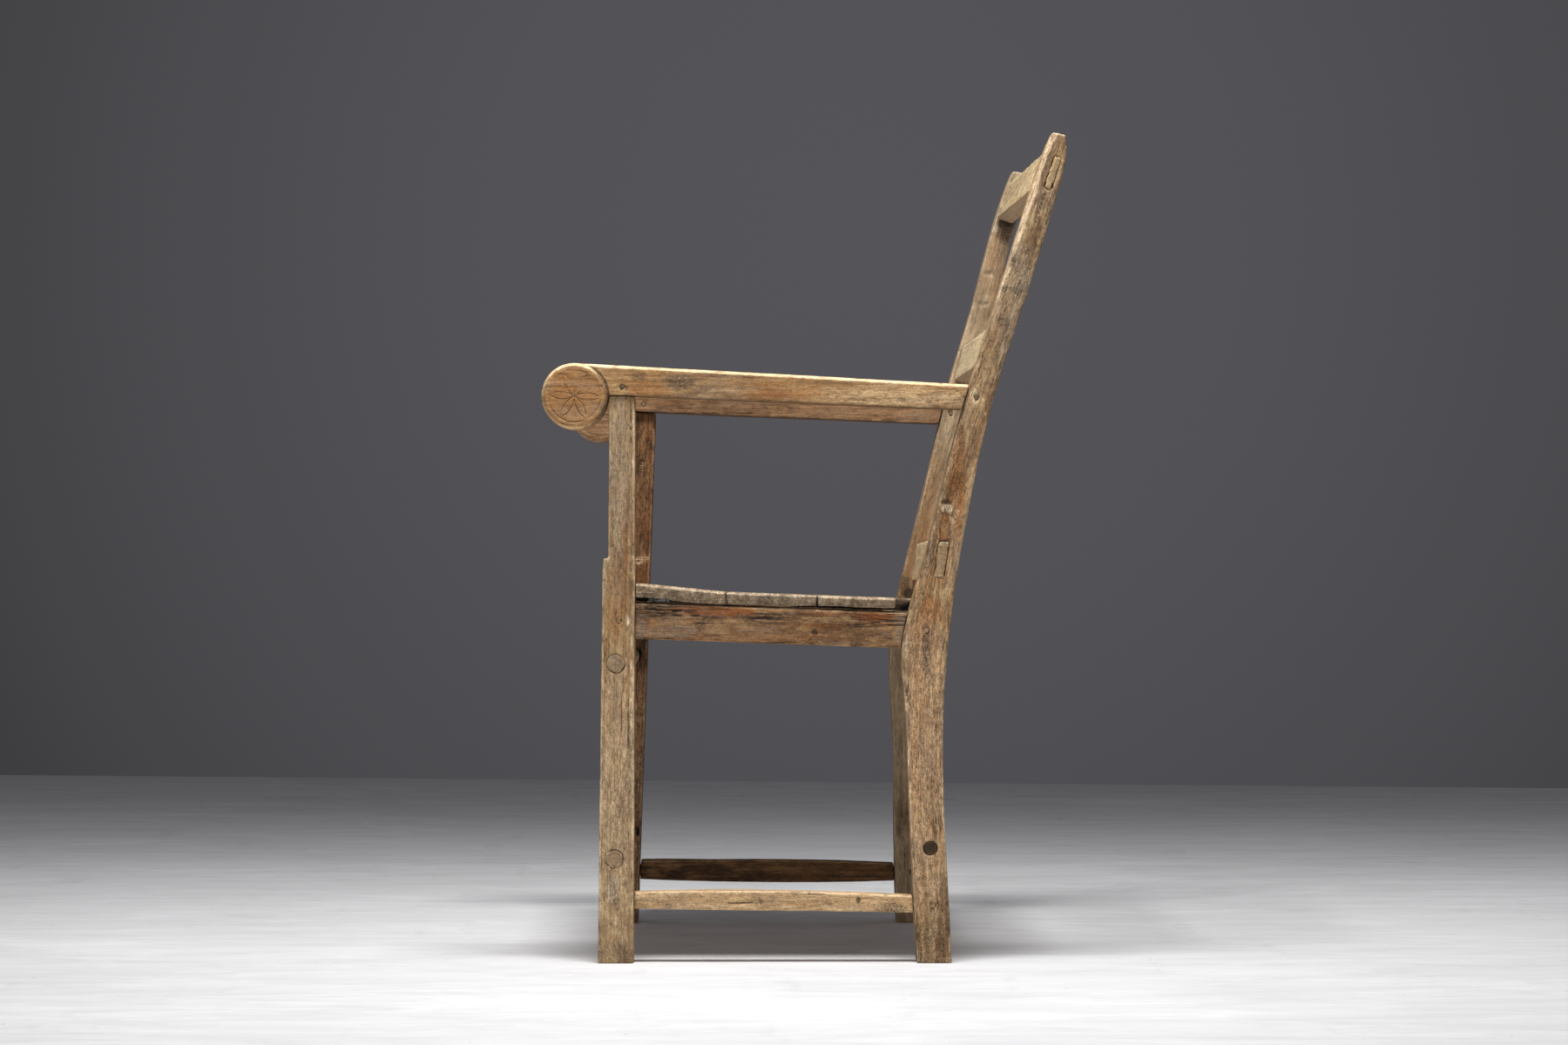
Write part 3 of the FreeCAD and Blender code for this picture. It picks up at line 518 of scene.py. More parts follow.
leg_wood = old_wood(
    "leg_wood", (0.64, 0.45, 0.24), (0.49, 0.3, 0.135), (0.29, 0.165, 0.073), rough=1.3,
)
# The right leg's wood is a darker, browner copy of the left leg's: painted shade
painted_shade_leg_wood = old_wood(
    "painted_shade_leg_wood", (0.31, 0.165, 0.07), (0.21, 0.098, 0.038), (0.09, 0.042, 0.018),
    silver=0.2, ruddy=0.5, grime=0.9, cracks=0.6, rough=2.0,
)
for side, seed, wood in (("left", 1, leg_wood), ("right", 2, painted_shade_leg_wood)):
    leg = Timber(side + "_front_leg", 2, seed, 0.0013)
    joints = [(-216.6, 343.5, 14), (-218.3, 120, 14), (-213.5, 393, 7)] if side == "left" else []
    leg.wear_edges(spare=joints)
    leg.hew()
    x, y, z = leg.points.T
    if side == "left":
        # The foot is a little deeper than the rest
        low = 1 - fade(z, 0.45, 0.47)
        y -= 0.0016 * low * fade(-y, 0.2285, 0.2305)
        y += 0.0006 * low * fade(y, -0.203, -0.199)
        leg.ring(outside, -216.6, 343.5, 10.6)
        leg.ring(outside, -218.3, 120, 10.6)
        leg.ring(outside, -213.5, 393, 3.2, 0.35)
        leg.marks_on(outside, [
            ("silver", (-220, 84), (14, 7, 20)), ("grime", (-216, 6), (20, 30, 22), 0.6),
            ("pale", (-203, 393), (3, 3, 6)), ("silver", (-212, 560), (20, 16, 100), 0.6),
            ("ruddy", (-214, 420), (20, 14, 60), 0.5),
        ])
        leg.dent((outside, -233, 372), (3, 3, 10), 0.8)
        leg.splits_on(outside, [
            ((-217.5, 332), (-217, 322), 0.8, 0.8), ((-196, 650), (-196.5, 560), 1.6, 0.1, "pale"),
            ((-234, 455), (-235, 330), 1.4, 0.1, "pale"), ((-198, 380), (-199, 250), 1.4, 0.1, "pale"),
        ])
        leg.marks_on(outside, [
            ("ruddy", (-206, 480), (20, 7, 70), 0.5), ("pale", (-216, 180), (20, 30, 170), 0.3),
        ])
    else:
        # An old bore in the inner face was plugged long ago
        plugged = (np.hypot(y + 0.2012, z - 0.587) < 0.0042) & (x < -0.2335) & (x > -0.25)
        x[plugged] = np.maximum(x[plugged], -0.2343)
        leg.marks["hollow"][plugged] *= 0.3
        leg.ring(-233.5, -201.2, 587, 3.1, 1.3)
        leg.dent((inside, -205, 461), (4, 5, 3), 1.2)
        leg.split((inside, -188, 640), (inside, -190, 480), 3.5, 0.1)
        # The dark lines where the rungs enter this inner face are painted shade
        leg.marks_on(inside, [
            ("silver", (-205, 461), (5, 9, 4), 1.2), ("pale", (-205, 461), (5, 9, 4), 1.5),
            ("line", (-204.5, 342), (6, 3.4, 9), 1.6), ("line", (-206.5, 116), (6, 3, 8), 1.4),
            ("grime", (-200, 392), (8, 20, 20), 0.8), ("silver", (-190, 320), (8, 6, 60), 0.7),
            ("pale", (-205, 150), (10, 40, 190), 0.45), ("ruddy", (-195, 505), (8, 14, 26), 0.8),
        ])
    leg.season(14)
    leg.nick(16)
    leg.finish(wood, "leg_wood")


# Rear posts
# Two long posts sawn and hewn from naturally bent stock, upright below the seat and raked above.
# The arms, rails and stretchers are tenoned into their front faces, the back rails between them.

# (Y, Z, reach) of the lower rail's and the crest's tenons, in millimetres
through_tenons = [(153.5, 455, 29), (286.5, 910, 26)]


def scratched(post, count, ys, zs, lengths, slant, depth, strength):
    """Pale scratches in a patch of the outside, all leaning one way, in millimetres."""
    for _ in range(count):
        y, z, long = [post.chance.uniform(*span) for span in (ys, zs, lengths)]
        end = (outside, y + slant[0] * long, z + slant[1] * long)
        post.split((outside, y, z), end, 0.5, depth, "pale", strength)


post_wood = old_wood(
    "post_wood", (0.66, 0.46, 0.24), (0.49, 0.295, 0.14), (0.25, 0.14, 0.066),
    ruddy=0.45, grime=0.6, cracks=0.6, rough=1.6,
)
grey_post_wood = old_wood(
    "grey_post_wood", (0.57, 0.42, 0.26), (0.46, 0.325, 0.19), (0.3, 0.2, 0.11),
    silver=0.25, ruddy=0.15, rough=0.8,
)
for side, seed, wood in (("left", 3, post_wood), ("right", 4, grey_post_wood)):
    post = Timber(side + "_rear_post", 2, seed, 0.0016, bend=5)
    x, y, z = post.points.T
    if side == "left":
        # The front outer arris is shaved off, widest at the top
        width = 0.003 + 0.006 * fade(z, 0.68, 0.93)
        inward = outside / 1000 - x + (y - post.outermost(1, np.min, 90))
        shaved = np.clip(width - inward, 0, None) / 2
        on_chamfer = fade(width - inward, 0.0006, 0.0016) * fade(z, 0.62, 0.74)
        boundary = 1 - fade(np.abs(width - inward), 0.0004, 0.0014)
        boundary *= fade(noise(post.points * 60, 88), -0.6, 0.2)
        x -= shaved
        y += shaved
    joints = [(145.5, 132, 12), (123, 375, 7), (164, 655, 7), (144, 67, 7), *through_tenons]
    post.wear_edges(spare=joints if side == "left" else [])
    if side == "right":
        # Slimmer between the crest and the middle rail, and darkened under the crest with painted shade
        slim = fade(y - post.outermost(1, np.min, 90), 0.010, 0.024)
        slim *= fade(z, 0.80, 0.85) * (1 - fade(z, 0.895, 0.905))
        y -= 0.0046 * slim
    post.hew(0.0009)
    if side == "right":
        # Painted shade under the crest and in a dark spot under the lower rail
        post.marks_on(inside, [
            ("line", (270, 898), (8, 18, 14), 0.9), ("grime", (262, 882), (8, 14, 22), 0.9),
            ("grime", (128, 428), (8, 18, 20), 1.0), ("ruddy", (140, 500), (10, 60, 150), 0.55),
            ("grime", (150, 560), (10, 60, 120), 0.25), ("line", (140, 420), (8, 10, 8), 1.0),
            ("pale", (249, 886), (6, 5, 6), 0.6), ("ruddy", (250, 830), (8, 16, 60), 0.3),
            ("grime", (254, 820), (8, 9, 60), 0.3),
        ])
        post.dent((inside, 241, 829), (4, 8, 3), 0.8)
        post.dent((inside, 233, 790), (4, 7, 3), 0.6)
        post.splits_on(inside, [
            ((232, 834), (252, 831), 1.2, 0.5), ((226, 793), (242, 791), 1.0, 0.4),
        ])
        post.marks_on(inside, [
            ("pale", (244, 825), (6, 5, 2), 0.3), ("pale", (236, 787), (6, 4, 2), 0.3),
        ])
    else:
        post.mark_all("silver", 0.55 * on_chamfer)
        post.mark_all("pale", 0.25 * on_chamfer)
        post.mark_all("line", 0.7 * boundary)
        post.marks["edge"] *= 1 - 0.6 * fade(width - inward, 0.001, 0.002)
        post.mark("line", (outside, 284.5, 892), (6, 2, 3), 1.4)
        post.dent((outside, 163, 529), (6, 7, 3.5), 1.3)
        post.marks_on(outside, [
            ("pale", (164, 522), (6, 9, 5.5), 0.7), ("ruddy", (160, 512), (8, 8, 9), 0.8),
            ("ruddy", (178, 560), (10, 9, 90), 0.8), ("ruddy", (158, 470), (10, 9, 50), 0.7),
            ("grime", (180, 580), (10, 6, 60), 0.5), ("ruddy", (148, 400), (10, 14, 26), 0.6),
            ("pale", (116, 382), (8, 5, 44), 0.45), ("grime", (140, 356), (10, 6, 34), 0.8),
            ("ruddy", (146, 372), (10, 6, 50), 0.7), ("pale", (196, 651), (5, 6, 10)),
            ("silver", (238, 760), (20, 24, 110), 0.5), ("pale", (135, 240), (20, 40, 170), 0.25),
            ("ruddy", (135, 240), (20, 40, 170), 0.3), ("grime", (150, 12), (30, 40, 60), 0.6),
        ])
        post.dent((outside, 135.5, 424), (1.6, 1.6, 1.6), 1.5)
        post.mark("line", (outside, 135.5, 424), (1.8, 1.8, 1.8), 1.4)
        # The knot: a dark rim, a paler eye and torn grain beside it
        post.ring(outside, 163, 523, 7.5, 0.55)
        post.marks_on(outside, [
            ("grime", (163, 541), (8, 9, 12), 0.9), ("grime", (172, 552), (10, 9, 20), 0.8),
            ("ruddy", (172, 548), (10, 12, 22), 0.9),
        ])
        # Scratches where the post was dragged along a wall, beside the knot, and behind the arm
        scratched(post, 34, (108, 140), (345, 430), (8, 30), (-0.5, -0.85), 0.25, 0.6)
        scratched(post, 12, (160, 176), (508, 524), (4, 12), (0.5, -0.7), 0.3, 0.7)
        scratched(post, 10, (186, 206), (632, 668), (6, 18), (0.7, -0.55), 0.3, 0.7)
        for y, z, width, height, level in (
            (275, 874, 10, 14, 0.3), (249, 786, 10, 30, 0.3), (231, 767, 12, 16, 0.25),
            (240, 806, 4, 7, 1.0), (218, 705, 9, 18, 0.3), (228, 742, 8, 14, 0.25),
            (258, 830, 7, 22, 0.25), (205, 690, 8, 14, 0.35),
        ):
            post.mark("grime", (outside, y, z), (10, width, height), level)
        post.ring(outside, 227, 736, 4.6, 0.9)
        post.split((outside, 237, 803), (outside, 243, 809), 1.6, 1.0)
        for _ in range(30):
            # Fine pale and dark lines across each other on the upper part
            y, z = post.chance.uniform(234, 258), post.chance.uniform(760, 805)
            long = post.chance.uniform(3, 9)
            end = (outside, y + long, z + 0.25 * long)
            post.split((outside, y, z), end, 0.5, 0.3, "pale", 0.6)
            y, z = post.chance.uniform(222, 258), post.chance.uniform(730, 825)
            end = (outside, y + 0.5 * long, z + long)
            post.split((outside, y, z), end, 0.7, 0.5, "line", 0.7)
        # Gaps round the lower rail's tenon
        post.splits_on(outside, [
            ((155, 485.5), (167, 486), 2.0, 0.5), ((155, 486), (149, 443), 1.3, 0.5),
        ])
    post.season(22, 90)
    post.nick(20)
    post.finish(wood, "post_wood")


# Arms
# Each arm is one tapered bar whose front end is cut as a thick round disc, scratched on both
# faces with a compass rosette. The neck of the leg is tenoned up into it and pegged.

compass = 0.0297            # radius to which the compass was set
petal_turn = math.radians(57)
disc_middles = {"left": (-0.264, 0.651), "right": (-0.255, 0.651)}
disc_radius = 0.0385
half_disc, half_bar = 0.026, 0.023      # half breadths of the disc and of the bar behind it
disc_face, bar_face = 275, 272          # X of their outer faces on the left, in millimetres


def rosette_distance(places, middle):
    """Distance from each (Y, Z) place to the nearest scratched arc or to the ring round them."""
    away = places - middle
    from_middle = np.linalg.norm(away, axis=-1)
    nearest = np.abs(from_middle - compass)
    for petal in range(6):
        turn = petal_turn + petal * math.tau / 6
        rim = compass * np.array([math.cos(turn), math.sin(turn)])
        arc = np.abs(np.linalg.norm(away - rim, axis=-1) - compass)
        nearest = np.minimum(nearest, np.where(from_middle < compass, arc, 1.0))
    return nearest


arm_wood = old_wood(
    "arm_wood", (0.66, 0.415, 0.185), (0.5, 0.27, 0.105), (0.31, 0.165, 0.066), grime=0.25,
)
# The right arm's wood is a darker copy of the left arm's: painted shade
painted_shade_arm_wood = old_wood(
    "painted_shade_arm_wood", (0.41, 0.24, 0.12), (0.31, 0.165, 0.075), (0.19, 0.1, 0.046), grime=0.3,
)
for side, seed, wood in (("left", 5, arm_wood), ("right", 6, painted_shade_arm_wood)):
    middle = np.array(disc_middles[side])
    arm_middle = 0.249 if side == "left" else -0.249

    def on_scratches(place):
        if abs(abs(place.x - arm_middle) - half_disc) > 0.001:
            return False
        return rosette_distance(np.array(place[1:]), middle) < 0.0016

    arm = Timber(side + "_arm", 1, seed, 0.0013, fine=on_scratches)
    # Both top arrises are rubbed down to narrow flats
    x, y, z = arm.points.T
    below_top = arm.outermost(2, np.max, 120) - z
    in_disc = np.linalg.norm(arm.points[:, 1:] - middle, axis=1) < disc_radius + 0.0003
    from_side = np.where(in_disc, half_disc, half_bar) - np.abs(x - arm_middle)
    rubbed = np.clip(0.0036 - from_side - below_top, 0, None) / 2
    x -= rubbed * np.sign(x - arm_middle)
    z -= rubbed
    arm.wear_edges(4, 0.3, [(-207.5, 661, 7), (-208, 661, 7)])
    arm.hew(0.0004)
    if side == "left":
        arm.marks_on(bar_face, [
            ("silver", (-144, 667), (8, 24, 11), 0.45), ("grime", (-144, 667), (8, 24, 11), 0.85),
            ("grime", (-192, 674), (8, 12, 7), 0.6), ("grime", (-207, 661), (8, 6, 4), 0.8),
            ("pale", (110, 650), (8, 110, 16), 0.4), ("ruddy", (-180, 660), (8, 30, 10), 0.4),
            ("ruddy", (-20, 655), (8, 60, 8), 0.35),
        ])
        arm.mark("silver", (outside, -100, 685), (8, 160, 3), 0.5)
        arm.mark("ruddy", (disc_face, -264, 651), (6, 40, 40), 0.45)
        arm.dent((disc_face, -249, 616), (8, 3, 3), 1.2)
        arm.split((disc_face, -256, 617), (disc_face, -243, 613), 1.2, 0.5, "pale")
    arm.season(12, 80)
    arm.nick(14)
    # The rosette, deepest where it was cut last
    x, y, z = arm.points.T
    sideways = np.abs(x - arm_middle)
    flat = np.abs(sideways - half_disc) < 0.0016
    scratches = 1 - fade(rosette_distance(arm.points[:, 1:], middle), 0.0002, 0.0008)
    scratches *= flat * (0.3 + 0.7 * fade(rough_noise(arm.points * 60, 77), -0.35, 0.3))
    away = arm.points[:, 1:] - middle
    from_middle = np.linalg.norm(away, axis=1)
    lower_rear = fade(away @ (0.6, -0.8), -0.02, 0.02)
    scratches *= 0.5 + 0.5 * lower_rear
    arm.push(-0.0006 * scratches)
    arm.mark_all("line", 0.62 * scratches)
    # The faces that look up are paler, the top arrises most: wear from hands, and a painted highlight
    upward = arm.facing[:, 2]
    arm.mark_all("pale", fade(upward, 0.25, 0.55) * (0.25 + 0.65 * (1 - fade(upward, 0.9, 0.99))))
    # Painted shade along the underside and in the crease where the bar meets the disc, and a broken dark
    # line inside the rim
    under = fade(-upward, 0.75, 0.95) * (sideways < 0.0222)
    arm.mark_all("line", 0.7 * under * (y > -0.225))
    corner = (1 - fade(np.abs(from_middle - 0.0392), 0.0006, 0.0018)) * (away[:, 0] > 0)
    corner *= np.abs(sideways - half_bar) < 0.0012
    arm.mark_all("line", 0.9 * corner)
    rim_line = 1 - fade(np.abs(from_middle - 0.0348), 0.0002, 0.001)
    rim_line *= flat * fade(rough_noise(arm.points * 70, 78), -0.3, 0.3)
    arm.mark_all("line", 0.4 * rim_line)
    # On the rim, painted shade on its rear side, where the pale edge is taken away, and a painted
    # highlight on the rest
    rim = fade(from_middle, 0.0347, 0.0362) * (sideways > 0.0215)
    rim *= from_middle < 0.0395
    rearward = fade(away[:, 0] / np.maximum(from_middle, 0.001), 0.3, 0.75)
    arm.marks["edge"] *= 1 - rim * (0.35 + 0.65 * rearward)
    arm.mark_all("grime", 0.95 * rim * rearward)
    arm.mark_all("pale", 0.3 * rim * (1 - rearward))
    arm.finish(wood, "arm_wood")


# Side rails of the seat
# Short thick rails between leg and post, darker and more split than the rest, held by blind
# tenons and pegs. Their fissures run along the grain and open where the sun reached them.

def rail_top(along_seat):
    """Height of the left rail's top, which slopes down to the rear."""
    return 0.415 - (along_seat + 0.196) * 0.0115 / 0.316


rail_wood = old_wood(
    "rail_wood", (0.47, 0.28, 0.13), (0.33, 0.165, 0.064), (0.15, 0.074, 0.031),
    ruddy=0.6, grime=0.6, cracks=0.75, rough=1.35, ruddy_tint=(1.0, 0.57, 0.18),
)
for side, seed in (("left", 7), ("right", 8)):
    rail = Timber(side + "_side_rail", 1, seed, 0.0011)
    rail.wear_edges()
    rail.hew(0.0006)
    x, y, z = rail.points.T
    # The rail's top, under the planks' edges, is darkened as painted shade
    shaded_rail_top = fade(z - rail_top(y), -0.0025, -0.0015)
    rail.mark_all("line", 0.95 * shaded_rail_top * (np.abs(x) < 0.2635))
    if side == "left":
        rail.splits_on(266, [
            ((-190, 407), (-136, 405), 1.6, 1.6), ((-186, 403), (-150, 402), 1.8, 1.4),
            ((-165, 400), (-120, 399), 1.2, 1.2), ((-58, 396), (-34, 397), 1.3, 1.2),
            ((52, 389), (88, 391), 1.2, 1.0),
        ])
        rail.marks_on(266, [
            ("cracked", (-160, 405), (8, 44, 9)), ("cracked", (-45, 397), (8, 24, 8)),
            ("cracked", (70, 390), (8, 34, 8), 0.8), ("ruddy", (-98, 404), (8, 46, 7)),
            ("ruddy", (80, 399), (8, 24, 8)), ("silver", (-150, 380), (8, 44, 9), 0.6),
            ("grime", (-178, 409), (8, 26, 4), 1.0), ("grime", (-130, 404), (8, 10, 3), 0.9),
            ("grime", (-120, 388), (8, 7, 7), 0.7), ("ruddy", (-110, 407), (8, 60, 5), 1.0),
            ("ruddy", (84, 401), (8, 20, 5), 1.0), ("silver", (-188, 385), (8, 8, 20), 0.8),
            ("silver", (112, 384), (8, 9, 20), 0.8),
        ])
        rail.dent((266, 12, 379), (3, 3, 3), 1.0)
        rail.mark("grime", (266, 12, 379), (4, 5, 5))
    rail.season(26, 60)
    rail.finish(rail_wood, "seat_rail_wood")


# Seat planks
# Three riven boards laid from side to side and nailed down on the rails, notched round the legs
# and posts. The front one keeps a thicker lip, and all have gone grey on their end grain.

plank_wood = old_wood(
    "plank_wood", (0.61, 0.44, 0.27), (0.43, 0.295, 0.17), (0.22, 0.148, 0.083),
    silver=0.4, ruddy=0.15, cracks=0.5, rough=1.1,
)
worn_end = 0.0032           # chamfer worn along the top of each plank's ends
seams = (-0.0905, 0.0145)   # where the boards meet, along the seat
# Height of the planks' undersides above the rail, along the seat, in millimetres
lift_places = (-196, -177, -158, -152, -128, -93, -20, 10, 104, 120)
lifts = (4.6, 4.2, 3.6, 1.2, 0.8, 0.3, 0.4, 2.0, 2.4, 2.4)
for place, seed in (("front", 9), ("middle", 10), ("rear", 11)):
    plank = Timber("seat_plank_" + place, 0, seed, 0.0016)
    x, y, z = plank.points.T
    # The boards dip 4.5 mm toward the right side
    foot = rail_top(y) + (x - 0.240) * 4.5 / 506
    lift = np.interp(y * 1000, lift_places, lifts) / 1000
    under = 1 - fade(z - foot, 0.006, 0.010)
    outer = fade(np.abs(x), 0.243, 0.254)
    window = fade(y, -0.181, -0.177) * (1 - fade(y, -0.158, -0.154))
    z += under * lift * np.maximum(outer, window)
    thickness = np.interp(y, (-0.231, -0.187, -0.091), (0.0215, 0.0215, 0.0155))
    worn_and_highlit = worn_end - (0.267 - np.abs(x)) - (foot + thickness - z)
    z -= np.clip(worn_and_highlit, 0, None) * (y < 0.121)
    # The boards' edges meet in a wavy, tight joint
    for seam in seams:
        beside = 1 - fade(np.abs(y - seam), 0.002, 0.02)
        sideways = 1 - fade(np.abs(y - seam), 0.0012, 0.003)
        y += 0.0007 * sideways * np.sign(seam - y)
        y += 0.0016 * beside * noise(np.stack([x * 25, 0 * x + seam * 99, z * 140], axis=1), 5)
    plank.wear_edges(4, 0.25, [(-90.5, 418, 20), (14.5, 414, 20)])
    joint = 1 - fade(np.min([np.abs(y - seam) for seam in seams], axis=0), 0.0004, 0.0012)
    plank.mark_all("line", joint)
    plank.marks["edge"] *= 0.6
    # The worn chamfers along the ends are marked as pale edges: wear, and a painted highlight
    plank.mark_all("edge", 0.5 * fade(worn_and_highlit, -0.0004, 0.0006) * (np.abs(y - 0.14) > 0.02))
    # Where the planks stand clear of the rail, their undersides are darkened as painted shade
    plank.mark_all("line", under * (lift > 0.0006) * (np.abs(x) < 0.2655))
    plank.hew(0.0009, 0.0003)
    if place == "rear":
        # Painted shade on the rear plank's ends in the notches behind the posts, below a top strip made
        # paler as a painted highlight
        for end in (-226, 226):
            plank.mark("grime", (end, 141, 403), (26, 40, 20), 1.6)
            plank.mark("line", (end, 141, 401), (26, 40, 19), 1.5)
        below = 1 - fade(z - foot - thickness, -0.0045, -0.003)
        plank.marks["grime"] *= below
        plank.marks["line"] *= below
        plank.mark_all("pale", 0.8 * (1 - below) * (y > 0.12) * (np.abs(x) > 0.21))
    plank.season(24, 160)
    plank.nick(14)
    plank.finish(plank_wood, "seat_wood")


# Floor stretchers
# A pale, slightly crowned bar on the left and one darkened as painted shade, bowed downwards, on the
# right.
# Each has a through tenon at the front leg and a blind one in the rear post.

pale_stretcher_wood = old_wood(
    "pale_stretcher_wood", (0.79, 0.56, 0.31), (0.65, 0.42, 0.21), (0.4, 0.245, 0.12),
    silver=0.2, rough=1.3,
)
# The right stretcher's wood is much darker than the left one's: painted shade
dark_stretcher_wood = old_wood(
    "dark_stretcher_wood", (0.33, 0.17, 0.068), (0.19, 0.092, 0.036), (0.08, 0.04, 0.017),
    silver=0.08,
)
for side, seed, tone, wood in (
    ("left", 12, "pale", pale_stretcher_wood), ("right", 13, "dark", dark_stretcher_wood),
):
    stretcher = Timber(side + "_stretcher", 1, seed, 0.0011)
    stretcher.wear_edges()
    stretcher.hew(0.0006)
    if side == "left":
        stretcher.splits_on(260, [
            ((-92, 68), (-60, 69), 1.3, 0.7), ((-52, 76), (-50, 66), 1.6, 0.6, "line", 0.7),
        ])
        stretcher.marks_on(260, [
            ("line", (6, 80), (2, 2.2, 2.2), 1.3), ("line", (62, 72), (3, 3, 5), 1.0),
            ("grime", (100, 62), (4, 20, 8), 0.8),
        ])
    else:
        raised = 1 - fade(stretcher.points[:, 1], -0.2, -0.1)
        stretcher.points[:, 2] += 0.002 * raised * fade(stretcher.facing[:, 2], 0.3, 0.7)
        stretcher.mark("pale", (-238, -185, 98), (8, 34, 5), 0.25)
    stretcher.season(10, 50)
    stretcher.nick(10)
    stretcher.finish(wood, tone + "_stretcher_wood")


# Rungs
# Two barrelled rungs shaved round between the front legs and one hewn eight-sided bar between
# the rear posts. Their round tenons go right through and show as end grain outside.

rung_wood = old_wood(
    "rung_wood", (0.7, 0.5, 0.29), (0.54, 0.355, 0.185), (0.33, 0.2, 0.1), rough=0.7,
)
for node, seed in (("front_upper_rung", 14), ("front_lower_rung", 15), ("rear_rung", 16)):
    rung = Timber(node, 0, seed, 0.0012, pith=(0.002, 0.003))
    rung.wear_edges(2, 0.1)
    rung.hew(0.0004)
    if node != "rear_rung":
        rung.wedge(0.0009)
        # Shaved thinner where it enters the right leg
        x = rung.points[:, 0]
        middle = np.array([np.polyval(rung.lines[a], x) for a in (1, 2)]).T
        thin = 1 - 0.22 * (1 - fade(x, -0.226, -0.19)) * (x > -0.229)
        rung.points[:, 1:] = middle + (rung.points[:, 1:] - middle) * thin[:, None]
        # Darkened where it enters the right leg, as painted shade
        rung.mark("grime", (-226, *(middle[0] * 1000)), (14, 20, 20), 1.2)
    if node == "rear_rung":
        rung.marks_on(268, [
            ("ruddy", (145, 132), (8, 14, 14), 0.6), ("line", (145, 132), (8, 11, 11), 1.1),
        ])
    rung.season(12, 90)
    rung.finish(rung_wood, "rung_wood")


# Back rails
# Three leaning boards between the posts. The crest and the lower rail have tenons that go right
# through the posts, and the middle rail has blind ones.

back_rail_wood = old_wood(
    "back_rail_wood", (0.84, 0.66, 0.38), (0.71, 0.53, 0.29), (0.49, 0.34, 0.18),
    silver=0.15, ruddy=0.2, grime=0.2, rough=0.7,
)
for node, seed in (("crest_rail", 17), ("middle_back_rail", 18), ("lower_back_rail", 19)):
    rail = Timber(node, 0, seed, 0.0014)
    rail.wear_edges(spare=through_tenons)
    rail.hew(0.0006)
    rail.wedge()
    # The undersides are greyer and ruddier, and darker as painted shade; the middle and lower rails are
    # paler elsewhere, as painted light
    under = fade(-rail.facing[:, 2], 0.45, 0.75) * (np.abs(rail.points[:, 0]) < 0.233)
    rail.mark_all("silver", 0.7 * under)
    rail.mark_all("ruddy", 0.45 * under)
    rail.mark_all("line", 0.32 * under)
    if node != "crest_rail":
        rail.mark_all("pale", 0.25 * (1 - under))
    # Ruddy tenon ends, the lower rail's also darkened as painted shade where they sit in the posts
    for side in (-1, 1):
        rail.mark("ruddy", (side * outside, 286, 910), (10, 30, 40), 0.4)
        rail.mark("ruddy", (side * outside, 154, 455), (10, 30, 40), 1.0)
        rail.mark("line", (side * outside, 154, 455), (10, 30, 40), 0.35)
    rail.season(14, 120)
    rail.nick(8)
    rail.finish(back_rail_wood, "back_rail_wood")


# Pegs
# Twelve split and whittled pegs, driven through legs, posts and the tenons inside them, and
# cut off flush. None is quite round, and their ends are darker than the wood round them.

whittling = np.random.default_rng(40)


def boxes_of(node, squeeze):
    """The middle and the half sizes of each loose solid in a node. Squeeze makes the long
    solids compact, so that corners less than 12 mm apart belong together."""
    corners = [vertex.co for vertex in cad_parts[node].data.vertices]
    groups = []
    for corner in corners:
        group = next((g for g in groups if ((g[0] - corner) * squeeze).length < 0.012), None)
        if group is None:
            groups.append([corner])
        else:
            group.append(corner)
    boxes = []
    for group in groups:
        low = Vector(map(min, *group))
        high = Vector(map(max, *group))
        boxes.append(((low + high) / 2, (high - low) / 2))
    return boxes


def lathe_rings(mesh, stations, ring, place):
    """A closed skin through rings of corners. A station is (distance along, size)."""
    loops = [[mesh.verts.new(place(far, size, corner)) for corner in ring] for far, size in stations]
    count = len(ring)
    for one, two in zip(loops, loops[1:]):
        for n in range(count):
            mesh.faces.new((one[n], one[(n + 1) % count], two[(n + 1) % count], two[n]))
    mesh.faces.new(loops[0][::-1])
    mesh.faces.new(loops[-1])


def whittled_ring(facets, unevenness, least, most):
    """The corners round a small piece, as (turn, size) pairs. None lies quite where it should."""
    turns = np.arange(facets) + whittling.uniform(-unevenness, unevenness, facets)
    return [(turn, whittling.uniform(least, most)) for turn in turns * math.tau / facets]


def small_piece(name, mesh, material, node):
    data = bpy.data.meshes.new(name)
    bmesh.ops.recalc_face_normals(mesh, faces=mesh.faces)
    mesh.to_mesh(data)
    mesh.free()
    data.materials.append(material)
    piece = put(name, data)
    stand_for(piece, node)
    return piece


peg_wood = old_wood(
    "peg_wood", (0.36, 0.25, 0.14), (0.27, 0.175, 0.09), (0.15, 0.09, 0.05), silver=0.2, rough=1.3,
)
pegs = {"arm_pegs": peg_wood, "seat_rail_pegs": leg_wood, "stretcher_pegs": leg_wood}
for node, wood in pegs.items():
    mesh = bmesh.new()
    for middle, half in boxes_of(node, Vector((0.1, 1, 1))):
        def on_peg(far, size, corner):
            turn, shave = corner
            reach = half.z * shave * size
            return middle + Vector((far, reach * math.cos(turn), reach * math.sin(turn)))

        tip = half.x
        stations = [
            (-tip, 0.88), (-tip + 0.0002, 0.97), (-tip + 0.001, 1),
            (tip - 0.001, 1), (tip - 0.0002, 0.97), (tip, 0.88),
        ]
        lathe_rings(mesh, stations, whittled_ring(11, 0.25, 0.93, 1.1), on_peg)
    piece = small_piece("whittled_" + node, mesh, wood, node)
    points = read(piece.data.vertices, "co", 3)
    write_layer(piece.data, "grain", points + (3.1, 0.03, 0.02))
    end_grain = (np.abs(points[:, 0]) > 0.2695) * 0.7
    write_layer(piece.data, "wear_and_shading", end_grain[:, None] * (0, 0, 1))


